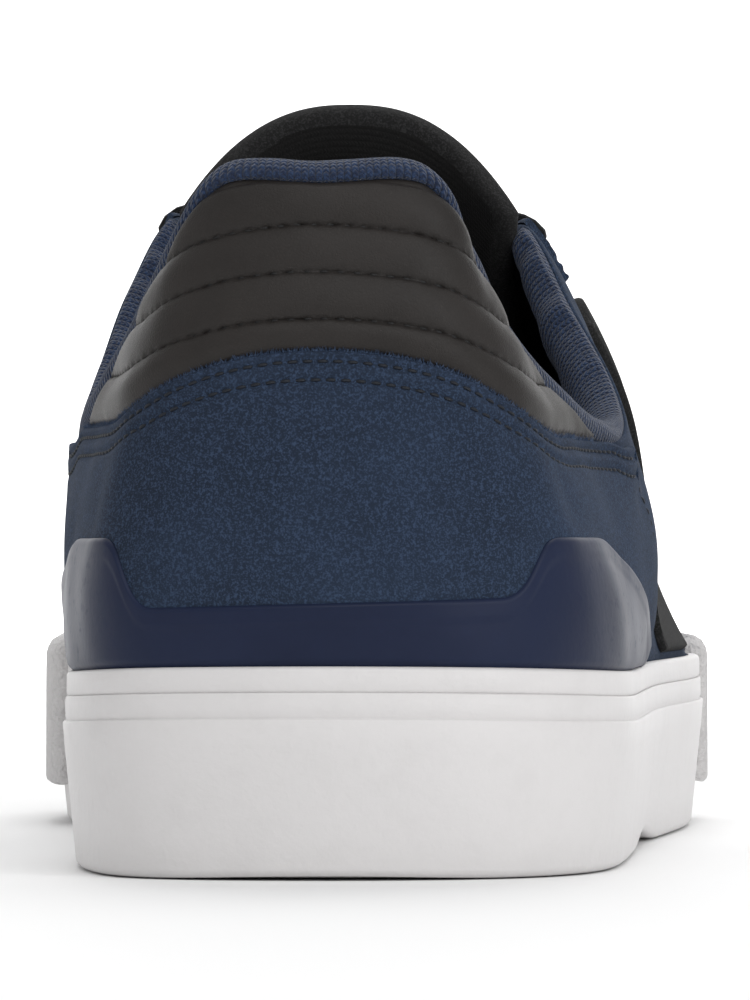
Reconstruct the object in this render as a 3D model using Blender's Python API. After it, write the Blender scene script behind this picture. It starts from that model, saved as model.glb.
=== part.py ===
"""Low skate shoe for the right foot, empty and unbent, standing on its sole.

Toe to +Y, outer side to +X, floor at z = 0. Every piece is worked out from one last:
a foot outline, a top line, and the ribs that run between them.
"""
import math
from collections import namedtuple

import bmesh
import bpy
import numpy as np

# Main sizes of the last
SHOE_LENGTH = 0.298
BALL_WIDTH = 0.109
HEEL_WIDTH = 0.082
HEEL_HEIGHT = 0.0975
DIP_HEIGHT = 0.062
INSTEP_HEIGHT = 0.0955
TOE_HEIGHT = 0.055

# Sole
SOLE_HEIGHT = 0.028
HEEL_KICK = 0.0015
TOE_SPRING = 0.009
SPRING_START = 0.212
ARCH_RISE = 0.002
ARCH_START = 0.082
ARCH_END = 0.140
HEEL_LIFT = 0.0004
HEEL_BEVEL = 0.006
BED_HEEL = 0.014
BED_BALL = 0.011
FOXING_WALL = 0.0024
FOXING_FOOT = 0.0068
SIDE_TAPER = 0.0019
FOOT_CORNER = 0.0013
RIB_SPACING = 0.0035
RIB_STEP = 0.0003
GROOVE_WIDTH = 0.003
GROOVE_DEPTH = 0.0015
GROOVE_PITCH = 0.0135
BUMPER_THICKNESS = 0.0013
BUMPER_FOOT = 0.0065
BUMPER_RISE = 0.0032
BUMPER_LEAN = 0.0018

# Upper and what is sewn to it
UPPER_WALL = 0.002
SWELL_HEIGHT = 0.022
OVERLAY = 0.0013
GUARD_THICKNESS = 0.0018
GUARD_MIDDLE = 0.0385
GUARD_WING = 0.0473
GUARD_TILT = 0.0005
PANEL_THICKNESS = 0.0014
PILLOW_RISE = 0.0013
PANEL_ARCH = 0.0732
PANEL_TIP = 0.0622
PANEL_SKEW = 0.0010
PILLOWS = 4
PANEL_EDGE = 0.998
LINING_WALL = 0.0016
ROLL_DEPTH = 0.0072
ROLL_RISE = 0.0026
ROLL_BULGE = 0.0018
LINING_DROP = 0.034
TONGUE_HEIGHT = 0.1139
TONGUE_HALF_WIDTH = 0.0254
TONGUE_ASIDE = -0.0009
TONGUE_THICKNESS = 0.0045
INSOLE_THICKNESS = 0.004
EYESTAY_WIDTH = 0.015
HOLE_INSET = 0.0065
HOLE_PAIRS = 6
LACE_WIDTH = 0.007
LACE_THICKNESS = 0.0012
LACE_CROWN = 0.0022
LACE_OVER = 0.0003
LACE_UP = np.array([0.0, 0.30, 0.95])
GAP = 0.00035
SEAT = 0.0005

# A row for each rib, from the back of the heel to the tip of the toe. The foot of a rib is a
# share of the length and of a width. Its top is the same, and a share of a height. Curl is 0 for
# an upright wall and 1 for a vamp that runs over to the ridge. Swell is how far it bulges.
Rib = namedtuple("Rib", "along across width top_along top_across top_up height curl swell")

LATERAL = (
    Rib(0.000, -0.049, HEEL_WIDTH, 0.045, -0.056, 1.000, HEEL_HEIGHT, 0.00, 0.0020),
    Rib(0.010, 0.185, HEEL_WIDTH, 0.052, 0.118, 0.998, HEEL_HEIGHT, 0.00, 0.0020),
    Rib(0.039, 0.358, HEEL_WIDTH, 0.070, 0.174, 0.897, HEEL_HEIGHT, 0.00, 0.0020),
    Rib(0.089, 0.458, HEEL_WIDTH, 0.107, 0.240, 0.779, HEEL_HEIGHT, 0.00, 0.0018),
    Rib(0.154, 0.500, HEEL_WIDTH, 0.158, 0.345, 1.073, DIP_HEIGHT, 0.05, 0.0018),
    Rib(0.225, 0.522, HEEL_WIDTH, 0.225, 0.448, 1.000, DIP_HEIGHT, 0.10, 0.0026),
    Rib(0.295, 0.541, HEEL_WIDTH, 0.275, 0.458, 0.708, INSTEP_HEIGHT, 0.20, 0.0036),
    Rib(0.369, 0.563, HEEL_WIDTH, 0.319, 0.378, 0.880, INSTEP_HEIGHT, 0.40, 0.0038),
    Rib(0.436, 0.444, BALL_WIDTH, 0.356, 0.233, 1.000, INSTEP_HEIGHT, 0.50, 0.0012),
    Rib(0.523, 0.481, BALL_WIDTH, 0.443, 0.184, 0.927, INSTEP_HEIGHT, 0.65, -0.0042),
    Rib(0.611, 0.514, BALL_WIDTH, 0.527, 0.142, 0.832, INSTEP_HEIGHT, 0.80, -0.0052),
    Rib(0.695, 0.523, BALL_WIDTH, 0.587, 0.087, 0.770, INSTEP_HEIGHT, 0.95, -0.0050),
    Rib(0.782, 0.493, BALL_WIDTH, 0.617, 0.009, 0.738, INSTEP_HEIGHT, 1.00, -0.0036),
    Rib(0.869, 0.408, BALL_WIDTH, 0.705, -0.009, 1.182, TOE_HEIGHT, 1.00, -0.0014),
    Rib(0.943, 0.266, BALL_WIDTH, 0.789, -0.032, 1.100, TOE_HEIGHT, 1.00, -0.0004),
    Rib(0.985, 0.101, BALL_WIDTH, 0.852, -0.050, 1.036, TOE_HEIGHT, 1.00, 0.0000),
    Rib(1.000, -0.073, BALL_WIDTH, 0.886, -0.064, 1.000, TOE_HEIGHT, 1.00, 0.0000),
)
MEDIAL = (
    Rib(0.010, -0.274, HEEL_WIDTH, 0.052, -0.215, 0.998, HEEL_HEIGHT, 0.00, 0.0020),
    Rib(0.038, -0.420, HEEL_WIDTH, 0.072, -0.283, 0.903, HEEL_HEIGHT, 0.00, 0.0020),
    Rib(0.090, -0.486, HEEL_WIDTH, 0.109, -0.346, 0.790, HEEL_HEIGHT, 0.00, 0.0018),
    Rib(0.154, -0.512, HEEL_WIDTH, 0.158, -0.421, 1.085, DIP_HEIGHT, 0.05, 0.0018),
    Rib(0.225, -0.512, HEEL_WIDTH, 0.223, -0.470, 1.008, DIP_HEIGHT, 0.10, 0.0024),
    Rib(0.295, -0.498, HEEL_WIDTH, 0.275, -0.465, 0.713, INSTEP_HEIGHT, 0.20, 0.0032),
    Rib(0.369, -0.473, HEEL_WIDTH, 0.319, -0.410, 0.885, INSTEP_HEIGHT, 0.40, 0.0030),
    Rib(0.443, -0.353, BALL_WIDTH, 0.356, -0.250, 1.010, INSTEP_HEIGHT, 0.50, 0.0020),
    Rib(0.530, -0.385, BALL_WIDTH, 0.443, -0.174, 0.932, INSTEP_HEIGHT, 0.65, 0.0010),
    Rib(0.617, -0.434, BALL_WIDTH, 0.527, -0.119, 0.838, INSTEP_HEIGHT, 0.80, -0.0010),
    Rib(0.695, -0.466, BALL_WIDTH, 0.587, -0.064, 0.772, INSTEP_HEIGHT, 0.95, -0.0016),
    Rib(0.775, -0.464, BALL_WIDTH, 0.617, 0.009, 0.738, INSTEP_HEIGHT, 1.00, -0.0016),
    Rib(0.852, -0.431, BALL_WIDTH, 0.705, -0.009, 1.182, TOE_HEIGHT, 1.00, -0.0012),
    Rib(0.923, -0.349, BALL_WIDTH, 0.789, -0.032, 1.100, TOE_HEIGHT, 1.00, -0.0004),
    Rib(0.975, -0.229, BALL_WIDTH, 0.852, -0.050, 1.036, TOE_HEIGHT, 1.00, 0.0000),
)
TOE_TIP = len(LATERAL) - 1
THROAT_BASE = 12
THROAT_TOP = 8

# Ribs round the last: outer side first, then back along the inner side
ROUND = LATERAL + MEDIAL[::-1]
FOOT_ROWS = np.array([(r.across * r.width, r.along * SHOE_LENGTH) for r in ROUND])
TOP_ROWS = np.array([(r.top_across * r.width, r.top_along * SHOE_LENGTH, r.top_up * r.height,
                      r.curl, r.swell) for r in ROUND])


def smooth_bends(rows):
    """Second differences of the closed cubic spline through the rows, one row apart."""
    count = len(rows)
    corner = np.eye(count)
    matrix = (4 * corner + np.roll(corner, 1, axis=1) + np.roll(corner, -1, axis=1)) / 6
    return np.linalg.solve(matrix, np.roll(rows, 1, axis=0) - 2 * rows + np.roll(rows, -1, axis=0))


FOOT_BENDS = smooth_bends(FOOT_ROWS)


def split_rib(t):
    """Row before t, and how far t lies past it; a rib on the inner side is a negative t."""
    place = np.mod(np.asarray(t, float), len(ROUND))
    before = np.floor(place).astype(int)
    return before % len(ROUND), (place - before)[..., None]


def foot_line(t):
    """Foot outline at rib t: the closed cubic spline through the feet, as x and y."""
    row, f = split_rib(t)
    after = (row + 1) % len(ROUND)
    straight = FOOT_ROWS[row] * (1 - f) + FOOT_ROWS[after] * f
    bend = FOOT_BENDS[row] * ((1 - f) ** 3 - (1 - f)) + FOOT_BENDS[after] * (f ** 3 - f)
    return straight + bend / 6


def top_values(t):
    """Top of rib t with its curl and swell: a curve through four rows at a time."""
    row, f = split_rib(t)
    rows = [TOP_ROWS[(row + step) % len(ROUND)] for step in (-1, 0, 1, 2)]
    slope = (rows[2] - rows[0]) / 2
    next_slope = (rows[3] - rows[1]) / 2
    rise = rows[2] - rows[1]
    return (rows[1] + slope * f + (3 * rise - 2 * slope - next_slope) * f ** 2
            + (slope + next_slope - 2 * rise) * f ** 3)


def top_line(t):
    """Top values at rib t; past the throat both sides share one ridge."""
    t = np.asarray(t, float)
    side = np.where(t > TOE_TIP, t - len(ROUND), t)
    own = top_values(side)
    other = top_values(-side)
    return np.where((np.abs(side) >= THROAT_BASE)[..., None], (own + other) / 2, own)


def outline(t, out):
    """Foot outline moved outwards by a distance, square to itself."""
    step = 0.01
    along = foot_line(np.asarray(t, float) + step) - foot_line(np.asarray(t, float) - step)
    length = np.hypot(along[..., 0], along[..., 1])
    square = np.stack([along[..., 1], -along[..., 0]], axis=-1) / length[..., None]
    return foot_line(t) + square * np.asarray(out, float)[..., None], square


def toe_lift(y):
    """Toe spring at a distance from the heel."""
    share = np.clip((y - SPRING_START) / (SHOE_LENGTH - SPRING_START), 0, 1.05)
    return TOE_SPRING * share ** 1.8


def sole_bottom(y):
    """Height of the sole's underside: bevelled heel, low arch and toe spring."""
    arch = np.sin(np.pi * np.clip((y - ARCH_START) / (ARCH_END - ARCH_START), 0, 1)) ** 2
    bevel = np.clip(1 - y / HEEL_BEVEL, 0, 1) ** 2
    return ARCH_RISE * arch + HEEL_LIFT * bevel + toe_lift(y)


def sole_top(y):
    """Height of the side band's top edge."""
    kick = np.clip(1 - y / (SHOE_LENGTH / 5), 0, 1) ** 2
    return SOLE_HEIGHT + HEEL_KICK * kick + 0.65 * toe_lift(y)


def bed(y):
    """Height of the footbed, on which the upper and the insole stand."""
    share = np.clip((y / SHOE_LENGTH - 0.3) / 0.3, 0, 1)
    share = share * share * (3 - 2 * share)
    return BED_HEEL + (BED_BALL - BED_HEEL) * share + 0.9 * toe_lift(y)


def rib_point(t, w):
    """Outer face of the upper.

    From w = 0 at the sole's top to w = 1 at the top line, a point leans from the foot to the
    top and swells outwards on the way. From w = -1 to 0 it stands upright inside the sole.
    """
    t, w = np.broadcast_arrays(np.asarray(t, float), np.asarray(w, float))
    foot, square = outline(t, np.full(t.shape, -FOXING_WALL - GAP))
    top = top_line(t)
    curl = np.clip(top[..., 3], 0, 1)
    up = np.clip(w, 0, 1)
    rise = (1 - curl) * up + curl * np.sin(up * np.pi / 2)
    lean = (1 - curl) * up ** 1.6 + curl * (1 - np.cos(up * np.pi / 2))
    foot_z = sole_top(foot[..., 1])
    height = (top[..., 2] - foot_z) * rise
    fade = (1 - curl) + curl * np.cos(up * np.pi / 2)
    swell = top[..., 4] * fade * height / SWELL_HEIGHT * np.exp(1 - height / SWELL_HEIGHT)
    plan = foot + (top[..., :2] - foot) * lean[..., None] + square * swell[..., None]
    down = np.clip(-w, 0, 1) * (foot_z - bed(foot[..., 1]) - GAP)
    return np.concatenate([plan, (foot_z + height - down)[..., None]], axis=-1)


def rib_normal(t, w):
    """Outward direction of the upper's face, from small steps along and up the ribs."""
    t, w = np.broadcast_arrays(np.asarray(t, float), np.asarray(w, float))
    up = np.clip(w, 0.02, 0.97)
    along = rib_point(t + 0.02, up) - rib_point(t - 0.02, up)
    rise = rib_point(t, up + 0.01) - rib_point(t, up - 0.01)
    out = np.cross(along, rise)
    flat = np.where((w <= 0)[..., None], np.array([1.0, 1.0, 0.0]), 1.0)
    out = out * flat
    return out / np.linalg.norm(out, axis=-1, keepdims=True)


def skin(t, w, out):
    """Point of the upper's face moved outwards; on the ridge both sides share a direction."""
    t, w = np.broadcast_arrays(np.asarray(t, float), np.asarray(w, float))
    side = np.where(t > TOE_TIP, t - len(ROUND), t)
    normal = rib_normal(side, w)
    shared = normal + rib_normal(-side, w)
    shared = shared / np.linalg.norm(shared, axis=-1, keepdims=True)
    ridge = (np.abs(side) >= THROAT_BASE) & (w >= 0.999)
    normal = np.where(ridge[..., None], shared, normal)
    return rib_point(t, w) + normal * np.asarray(out, float)[..., None]


def rib_steps(t):
    """Heights and lengths along rib t, on a fine scale of w."""
    scale = np.linspace(0, 1, 41)
    points = rib_point(np.asarray(t, float)[..., None], scale)
    steps = np.linalg.norm(np.diff(points, axis=-2), axis=-1)
    length = np.concatenate([np.zeros(steps.shape[:-1] + (1,)), np.cumsum(steps, axis=-1)], axis=-1)
    return scale, points[..., 2], length


def w_at_height(t, z):
    """Place on each rib that has the height z."""
    scale, heights, _ = rib_steps(t)
    z = np.broadcast_to(z, heights.shape[:-1])
    return np.array([np.interp(level, row, scale) for level, row in zip(z, heights)])


def w_from_top(t, distance):
    """Place on each rib that lies a distance below its top."""
    scale, _, lengths = rib_steps(t)
    distance = np.broadcast_to(distance, lengths.shape[:-1])
    return np.array([np.interp(row[-1] - down, row, scale) for down, row in zip(distance, lengths)])


def stations(*spans):
    """Rib numbers from spans of start, end and count, each span leaving out its end."""
    parts = [np.linspace(start, end, count, endpoint=False) for start, end, count in spans]
    return np.concatenate(parts)


# Stations are close together round the heel and the toe, and half a rib apart between
ROUND_STATIONS = stations((0, 3, 12), (3, 12, 18), (12, 16, 15), (16, 20, 15), (20, 29, 18),
                          (29, 32, 12))
HEEL_STATIONS = np.append(stations((-5.5, -3, 5), (-3, 3, 24), (3, 5.5, 5)), 5.5)
GUARD_END = 5.8
FACE_ROWS = np.array([0.0, 0.17, 0.36, 0.56, 0.78, 1.0])


def material(name, color, roughness, metallic=0.0):
    """Plain material with the part's colour and finish."""
    made = bpy.data.materials.new(name)
    made.use_nodes = True
    shader = made.node_tree.nodes["Principled BSDF"]
    shader.inputs["Base Color"].default_value = (*color, 1.0)
    shader.inputs["Roughness"].default_value = roughness
    shader.inputs["Metallic"].default_value = metallic
    return made


def solid(name, vertices, faces, finish, weld=1e-6):
    """Object from vertices and faces, welded and shaded smooth, in the shoe's collection."""
    mesh = bpy.data.meshes.new(name)
    mesh.from_pydata([tuple(v) for v in np.asarray(vertices).reshape(-1, 3)], [], faces)
    shape = bmesh.new()
    shape.from_mesh(mesh)
    bmesh.ops.remove_doubles(shape, verts=shape.verts, dist=weld)
    bmesh.ops.recalc_face_normals(shape, faces=shape.faces)
    shape.to_mesh(mesh)
    shape.free()
    mesh.shade_smooth()
    mesh.set_sharp_from_angle(angle=math.radians(35))
    made = bpy.data.objects.new(name, mesh)
    made.data.materials.append(finish)
    SHOE.objects.link(made)
    return made


def grid_faces(rows, columns, start, close_rows=False):
    """Quads of a grid whose points are numbered row by row from start."""
    last = rows if close_rows else rows - 1
    quads = []
    for i in range(last):
        for j in range(columns - 1):
            a = start + i * columns + j
            b = start + (i + 1) % rows * columns + j
            quads.append((a, b, b + 1, a + 1))
    return quads


def plate(name, outer, inner, finish, rims="abcd"):
    """Closed solid between two grids of points, with a rim on the sides named.

    Side a is the first row, b the last row, c the first column and d the last column.
    """
    rows, columns = outer.shape[:2]
    size = rows * columns
    vertices = np.concatenate([outer.reshape(-1, 3), inner.reshape(-1, 3)])
    faces = grid_faces(rows, columns, 0)
    faces += [tuple(reversed(face)) for face in grid_faces(rows, columns, size)]
    edges = {
        "a": [j for j in range(columns)],
        "b": [(rows - 1) * columns + j for j in range(columns)],
        "c": [i * columns for i in range(rows)],
        "d": [i * columns + columns - 1 for i in range(rows)],
    }
    for side in rims:
        line = edges[side]
        for start, end in zip(line, line[1:]):
            faces.append((start, end, end + size, start + size))
    return solid(name, vertices, faces, finish)


def tube(name, sections, finish, closed):
    """Solid whose closed sections follow one another, capped at its ends or run in a ring."""
    rows, columns = sections.shape[:2]
    faces = []
    for i in range(rows if closed else rows - 1):
        for j in range(columns):
            a = i * columns + j
            b = (i + 1) % rows * columns + j
            side = (j + 1) % columns - j
            faces.append((a, b, b + side, a + side))
    if not closed:
        faces.append(tuple(range(columns)))
        faces.append(tuple(reversed(range((rows - 1) * columns, rows * columns))))
    return solid(name, sections, faces, finish)


def band_section(t, rows):
    """Sections of a band round the sole from rows of outward distance and height."""
    points = []
    for out, height in rows:
        plan, _ = outline(t, np.broadcast_to(out, t.shape))
        points.append(np.concatenate([plan, np.broadcast_to(height, t.shape)[..., None]], axis=-1))
    return np.stack(points, axis=1)


def make_foxing(finish):
    """Side band: a lip, two fine steps, a face that tapers down and a rounded foot."""
    t = ROUND_STATIONS
    y = foot_line(t)[:, 1]
    low = sole_bottom(y)
    top = sole_top(y)
    rows = (
        (-FOXING_WALL, top),
        (-3 * RIB_STEP, top),
        (-2 * RIB_STEP, top - RIB_SPACING),
        (-RIB_STEP, top - RIB_SPACING - RIB_STEP),
        (-RIB_STEP, top - 2 * RIB_SPACING),
        (0.0, top - 2 * RIB_SPACING - RIB_STEP),
        (-SIDE_TAPER, low + FOOT_CORNER),
        (-SIDE_TAPER - 0.7 * FOOT_CORNER, low),
        (-FOXING_FOOT, low),
        (-FOXING_WALL, bed(y) - GAP),
    )
    return tube("foxing", band_section(t, rows), finish, closed=True)


def groove_lines():
    """Distances along the shoe of the tread's cross grooves, under the heel and the ball."""
    heel = np.arange(HEEL_BEVEL + GROOVE_PITCH, ARCH_START - GROOVE_PITCH / 2, GROOVE_PITCH)
    ball = np.arange(ARCH_END + GROOVE_PITCH, SHOE_LENGTH - 2 * GROOVE_PITCH, GROOVE_PITCH)
    return np.concatenate([heel, ball])


def rib_at(y, side):
    """Rib whose foot lies at distance y, on the outer side (1) or the inner side (-1)."""
    scale = np.linspace(0, TOE_TIP, 400) * side
    return np.interp(y, outline(scale, np.full(scale.shape, -FOXING_FOOT))[0][:, 1], scale)


def slab(y, out_low, out_top, low, top, columns):
    """Grids of a slab's top and underside, laid from the inner side to the outer side."""
    share = np.linspace(0, 1, columns)[None, :, None]
    grids = []
    for out, height in ((out_top, top), (out_low, low)):
        outer, _ = outline(rib_at(y, 1), np.full(y.shape, out))
        inner, _ = outline(rib_at(y, -1), np.full(y.shape, out))
        plan = inner[:, None] * (1 - share) + outer[:, None] * share
        level = np.broadcast_to(height[:, None, None], plan.shape[:2] + (1,))
        grids.append(np.concatenate([plan, level], axis=-1))
    return grids


def make_outsole(finish):
    """Tread plate inside the side band; its cross grooves leave flat blocks on the floor."""
    start = FOXING_FOOT + GAP
    end = SHOE_LENGTH - FOXING_FOOT - GAP
    lines = groove_lines()
    half = GROOVE_WIDTH / 2
    slope = GROOVE_DEPTH / 4
    depth = [(start, 0.0), (start + 0.0012, 0.0), (start + 0.004, 0.0), (start + 0.009, 0.0)]
    for line in lines:
        depth += [(line - half - slope, 0.0), (line - half, 1.0), (line + half, 1.0),
                  (line + half + slope, 0.0)]
    depth += [(np.mean((ARCH_START, ARCH_END)), 0.0), (ARCH_START, 0.0), (ARCH_END, 0.0)]
    depth += [(end - 0.012, 0.0), (end - 0.005, 0.0), (end - 0.0014, 0.0), (end, 0.0)]
    depth = sorted(depth)
    y = np.array([row[0] for row in depth])
    cut = np.array([row[1] for row in depth]) * GROOVE_DEPTH
    top, low = slab(y, -FOXING_FOOT - 2 * GAP, -FOXING_WALL - 2 * GAP, sole_bottom(y) + cut,
                    bed(y) - GAP, 4)
    return plate("outsole", top, low, finish)


def make_insole(finish):
    """Footbed inside the upper's wall, lying on the outsole."""
    edge = -FOXING_WALL - UPPER_WALL - 3 * GAP
    start = -edge + GAP
    y = np.concatenate([[start, start + 0.0015, start + 0.005], np.linspace(0.06, 0.9, 14) * SHOE_LENGTH,
                        [SHOE_LENGTH - start - 0.010, SHOE_LENGTH - start - 0.004,
                         SHOE_LENGTH - start - 0.001]])
    low = bed(y)
    top, under = slab(y, edge, edge, low, low + INSOLE_THICKNESS, 5)
    return plate("insole", top, under, finish)


def make_upper(finish):
    """The shell: outer and inner faces, joined by rims round the foot, collar and throat."""
    t = ROUND_STATIONS
    w = np.concatenate([[-1.0], FACE_ROWS])
    outer = skin(t[:, None], w[None, :], np.zeros((len(t), len(w))))
    inner = skin(t[:, None], w[None, :], np.full((len(t), len(w)), -UPPER_WALL))
    rows, columns = len(t), len(w)
    size = rows * columns
    faces = grid_faces(rows, columns, 0, close_rows=True)
    faces += [tuple(reversed(face)) for face in grid_faces(rows, columns, size, close_rows=True)]
    side = np.where(t > TOE_TIP, t - len(ROUND), t)
    for i in range(rows):
        after = (i + 1) % rows
        foot = (i * columns, after * columns)
        faces.append((foot[0], foot[1], foot[1] + size, foot[0] + size))
        if max(abs(side[i]), abs(side[after])) <= THROAT_BASE + 1e-6:
            edge = (foot[0] + columns - 1, foot[1] + columns - 1)
            faces.append((edge[0], edge[0] + size, edge[1] + size, edge[1]))
    return solid("upper", np.concatenate([outer, inner]), faces, finish)


def make_lining(finish):
    """Padded collar roll: over the upper's edge, full at the top and thin at its foot."""
    t = np.concatenate([[-7.4], np.arange(-7.0, -3.0, 0.5), np.arange(-3.0, 3.0, 0.25),
                        np.arange(3.0, 7.01, 0.5), [7.4]])
    end = np.clip((7.4 - np.abs(t)) / 1.5, 0, 1) ** 0.5
    drop = LINING_DROP * (0.45 + 0.55 * end)
    back = UPPER_WALL + 2 * GAP
    full = back + (ROLL_DEPTH - back) * (0.45 + 0.55 * end)
    thin = back + LINING_WALL
    below = ((0.0, back), (0.5, back), (1.0, back),
             (1.0, thin), (0.6, thin * 0.5 + full * 0.5), (0.25, full))
    points = []
    top = skin(t, np.ones(t.shape), np.zeros(t.shape))
    normal = rib_normal(t, np.ones(t.shape))
    rise = top - skin(t, np.full(t.shape, 0.95), np.zeros(t.shape))
    rise = rise / np.linalg.norm(rise, axis=-1, keepdims=True)
    for share, deep in below:
        w = w_from_top(t, drop * share)
        points.append(skin(t, w, -np.broadcast_to(deep, t.shape)))
    over = ((-0.1, 0.93), (0.75, 0.70), (1.0, 0.42), (0.97, 0.05))
    for up, deep in over:
        points.append(top + rise * ROLL_RISE * up - normal * (full * deep)[..., None])
    for up, out in ((0.62, 1.0), (0.22, 0.9)):
        points.append(top + rise * ROLL_RISE * up + normal * ROLL_BULGE * out)
    points.append(top + rise * GAP - normal * GAP)
    points[0] = top + rise * GAP - normal * back
    return tube("collar_lining", np.stack(points, axis=1), finish, closed=False)


def guard_top(t):
    """Top edge of the heel guard: low behind the heel, a wing each side, then down to the sole."""
    side = np.abs(t)
    middle = np.interp(side, (0, 1.46, 2.0), (0, 0, 1))
    middle = middle * middle * (3 - 2 * middle)
    front = np.clip((side - 3.3) / 2.5, 0, 1)
    foot = sole_top(foot_line(t)[:, 1])
    wing = GUARD_WING + (foot + 0.004 - GUARD_WING) * front ** 1.3
    low = GUARD_MIDDLE + GUARD_TILT * t
    return low + (wing - low) * middle


def arch_line(t):
    """Edge between the quilted panel and the counter: an arch, highest behind the heel."""
    side = np.clip(t / 3.1, -1, 1)
    tip = PANEL_TIP - PANEL_SKEW * side
    return tip + (PANEL_ARCH - tip) * (1 + np.cos(np.pi * side)) / 2


def overlay(name, t, w_low, w_high, shares, thickness, finish, rake=0.0):
    """Sheet on the upper's face between two lines, with thickness for each share across it."""
    share = np.asarray(shares)[None, :]
    w = w_low[:, None] * (1 - share) + w_high[:, None] * share
    t = np.sign(t)[:, None] * (np.abs(t)[:, None] - rake * share * np.clip(np.abs(t)[:, None] - 5.2, 0, 1))
    base = np.full(w.shape, SEAT)
    outer = skin(t, w, base + thickness)
    inner = skin(t, w, base)
    return plate(name, outer, inner, finish)


def make_guard(finish):
    """Moulded heel guard, from the sole's top to its winged edge."""
    t = np.concatenate([[-GUARD_END], HEEL_STATIONS, [GUARD_END]])
    w_low = w_at_height(t, sole_top(foot_line(t)[:, 1]) + 2 * SEAT)
    w_high = w_at_height(t, guard_top(t))
    thickness = np.array([1.0, 1.0, 1.0, 0.75]) * GUARD_THICKNESS
    return overlay("heel_piece", t, w_low, w_high, (0, 0.4, 0.85, 1), thickness[None, :], finish)


def make_counter(finish):
    """Suede overlay between the heel guard and the quilted panel."""
    ahead = np.array([GUARD_END + 0.04, 6.1, 6.4])
    t = np.concatenate([-ahead[::-1], HEEL_STATIONS, ahead])
    beyond = np.abs(t) > ahead[0]
    low = np.where(beyond, sole_top(foot_line(t)[:, 1]) + 2 * SEAT, guard_top(t) + GAP)
    high = np.minimum(arch_line(t) - GAP, top_line(t)[:, 2] - GAP)
    w_low = w_at_height(t, low)
    w_high = w_at_height(t, high)
    return overlay("heel_counter", t, w_low, w_high, (0, 0.2, 0.5, 1), OVERLAY, finish, rake=0.9)


def make_panel(finish):
    """Quilted panel from the counter's arch to the collar, in pillows between seams."""
    t = np.append(stations((-4.45, -3, 4), (-3, 3, 18), (3, 4.45, 4)), 4.45)
    arch = arch_line(t)[:, None]
    pillow = (HEEL_HEIGHT - PANEL_ARCH) / PILLOWS
    rows = arch + np.arange(2 * PILLOWS + 1)[None, :] * pillow / 2
    w = np.stack([np.minimum(w_at_height(t, row), PANEL_EDGE) for row in rows.T], axis=1)
    w[:, -1] = PANEL_EDGE
    height = rib_point(t[:, None], w)[..., 2]
    below = np.clip((height[:, -1:] - height) / (pillow / 2), 0, 1)
    crown = np.abs(np.sin(np.pi * (height - arch) / pillow)) * below * PILLOW_RISE
    ends = np.clip((4.45 - np.abs(t)) / 1.2, 0, 1) ** 0.5
    thickness = PANEL_THICKNESS * (0.6 + 0.4 * below) + crown * ends[:, None]
    outer = skin(t[:, None], w, SEAT + thickness)
    inner = skin(t[:, None], w, np.full(w.shape, SEAT))
    return plate("heel_panel", outer, inner, finish)


def make_side_panel(name, side, finish):
    """Plain saddle from the eyestay's edge down to the sole, raked forward."""
    share = np.linspace(0, 1, 6)
    w = 0.02 + 0.70 * share
    back = 8.7 - 1.2 * share
    front = 10.2 - 0.9 * share
    across = np.linspace(0, 1, 6)
    t = (back[None, :] + (front - back)[None, :] * across[:, None]) * side
    w = np.broadcast_to(w, t.shape)
    outer = skin(t, w, np.full(t.shape, SEAT + OVERLAY))
    inner = skin(t, w, np.full(t.shape, SEAT))
    return plate(name, outer, inner, finish)


def eyestay_places():
    """Ribs and places of the eyestay's outer edge, from the outer side round to the inner."""
    t = np.linspace(THROAT_TOP, THROAT_BASE, 9)
    width = np.interp(t, (THROAT_TOP, THROAT_TOP + 0.5), (EYESTAY_WIDTH * 0.9, EYESTAY_WIDTH))
    w = w_from_top(t, width)
    turn = np.array([12.2, 12.38])
    turn_w = w_from_top(turn, np.array([0.72, 0.36]) * EYESTAY_WIDTH)
    return (np.concatenate([t, turn, [12.46]]), np.concatenate([w, turn_w, [1.0]]))


def make_eyestay(finish):
    """Lace stay round the throat: a band from its edge, turned about the throat's base."""
    edge_t, edge_w = eyestay_places()
    share = np.linspace(0, 1, 3)[None, :]
    from_t = np.minimum(edge_t, THROAT_BASE)[:, None]
    t = from_t + (edge_t[:, None] - from_t) * share
    w = 1 - (1 - edge_w[:, None]) * share
    t = np.concatenate([t, -t[-2::-1]])
    w = np.concatenate([w, w[-2::-1]])
    outer = skin(t, w, np.full(t.shape, SEAT + OVERLAY))
    inner = skin(t, w, np.full(t.shape, SEAT))
    return plate("eyestay", outer, inner, finish)


def make_toe_cap(finish):
    """Suede overlay over the toe, its seam across the vamp bowed towards the throat."""
    seam = 12.45 + 1.15 * FACE_ROWS ** 2.6
    own = ROUND_STATIONS[(ROUND_STATIONS > seam[0]) & (ROUND_STATIONS < TOE_TIP)]
    t = np.maximum(seam[None, :], np.concatenate([[seam[0]], own, [float(TOE_TIP)]])[:, None])
    foot = w_at_height(t[:, 0], sole_top(foot_line(t[:, 0])[:, 1]) + BUMPER_RISE + SEAT)
    w = np.maximum(FACE_ROWS[None, :], foot[:, None] + 0.0 * t)
    t = np.concatenate([t, -t[:, -2::-1]], axis=1)
    w = np.concatenate([w, w[:, -2::-1]], axis=1)
    outer = skin(t, w, np.full(t.shape, SEAT + OVERLAY))
    inner = skin(t, w, np.full(t.shape, SEAT))
    return plate("toe_cap", outer, inner, finish, rims="acd")


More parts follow.
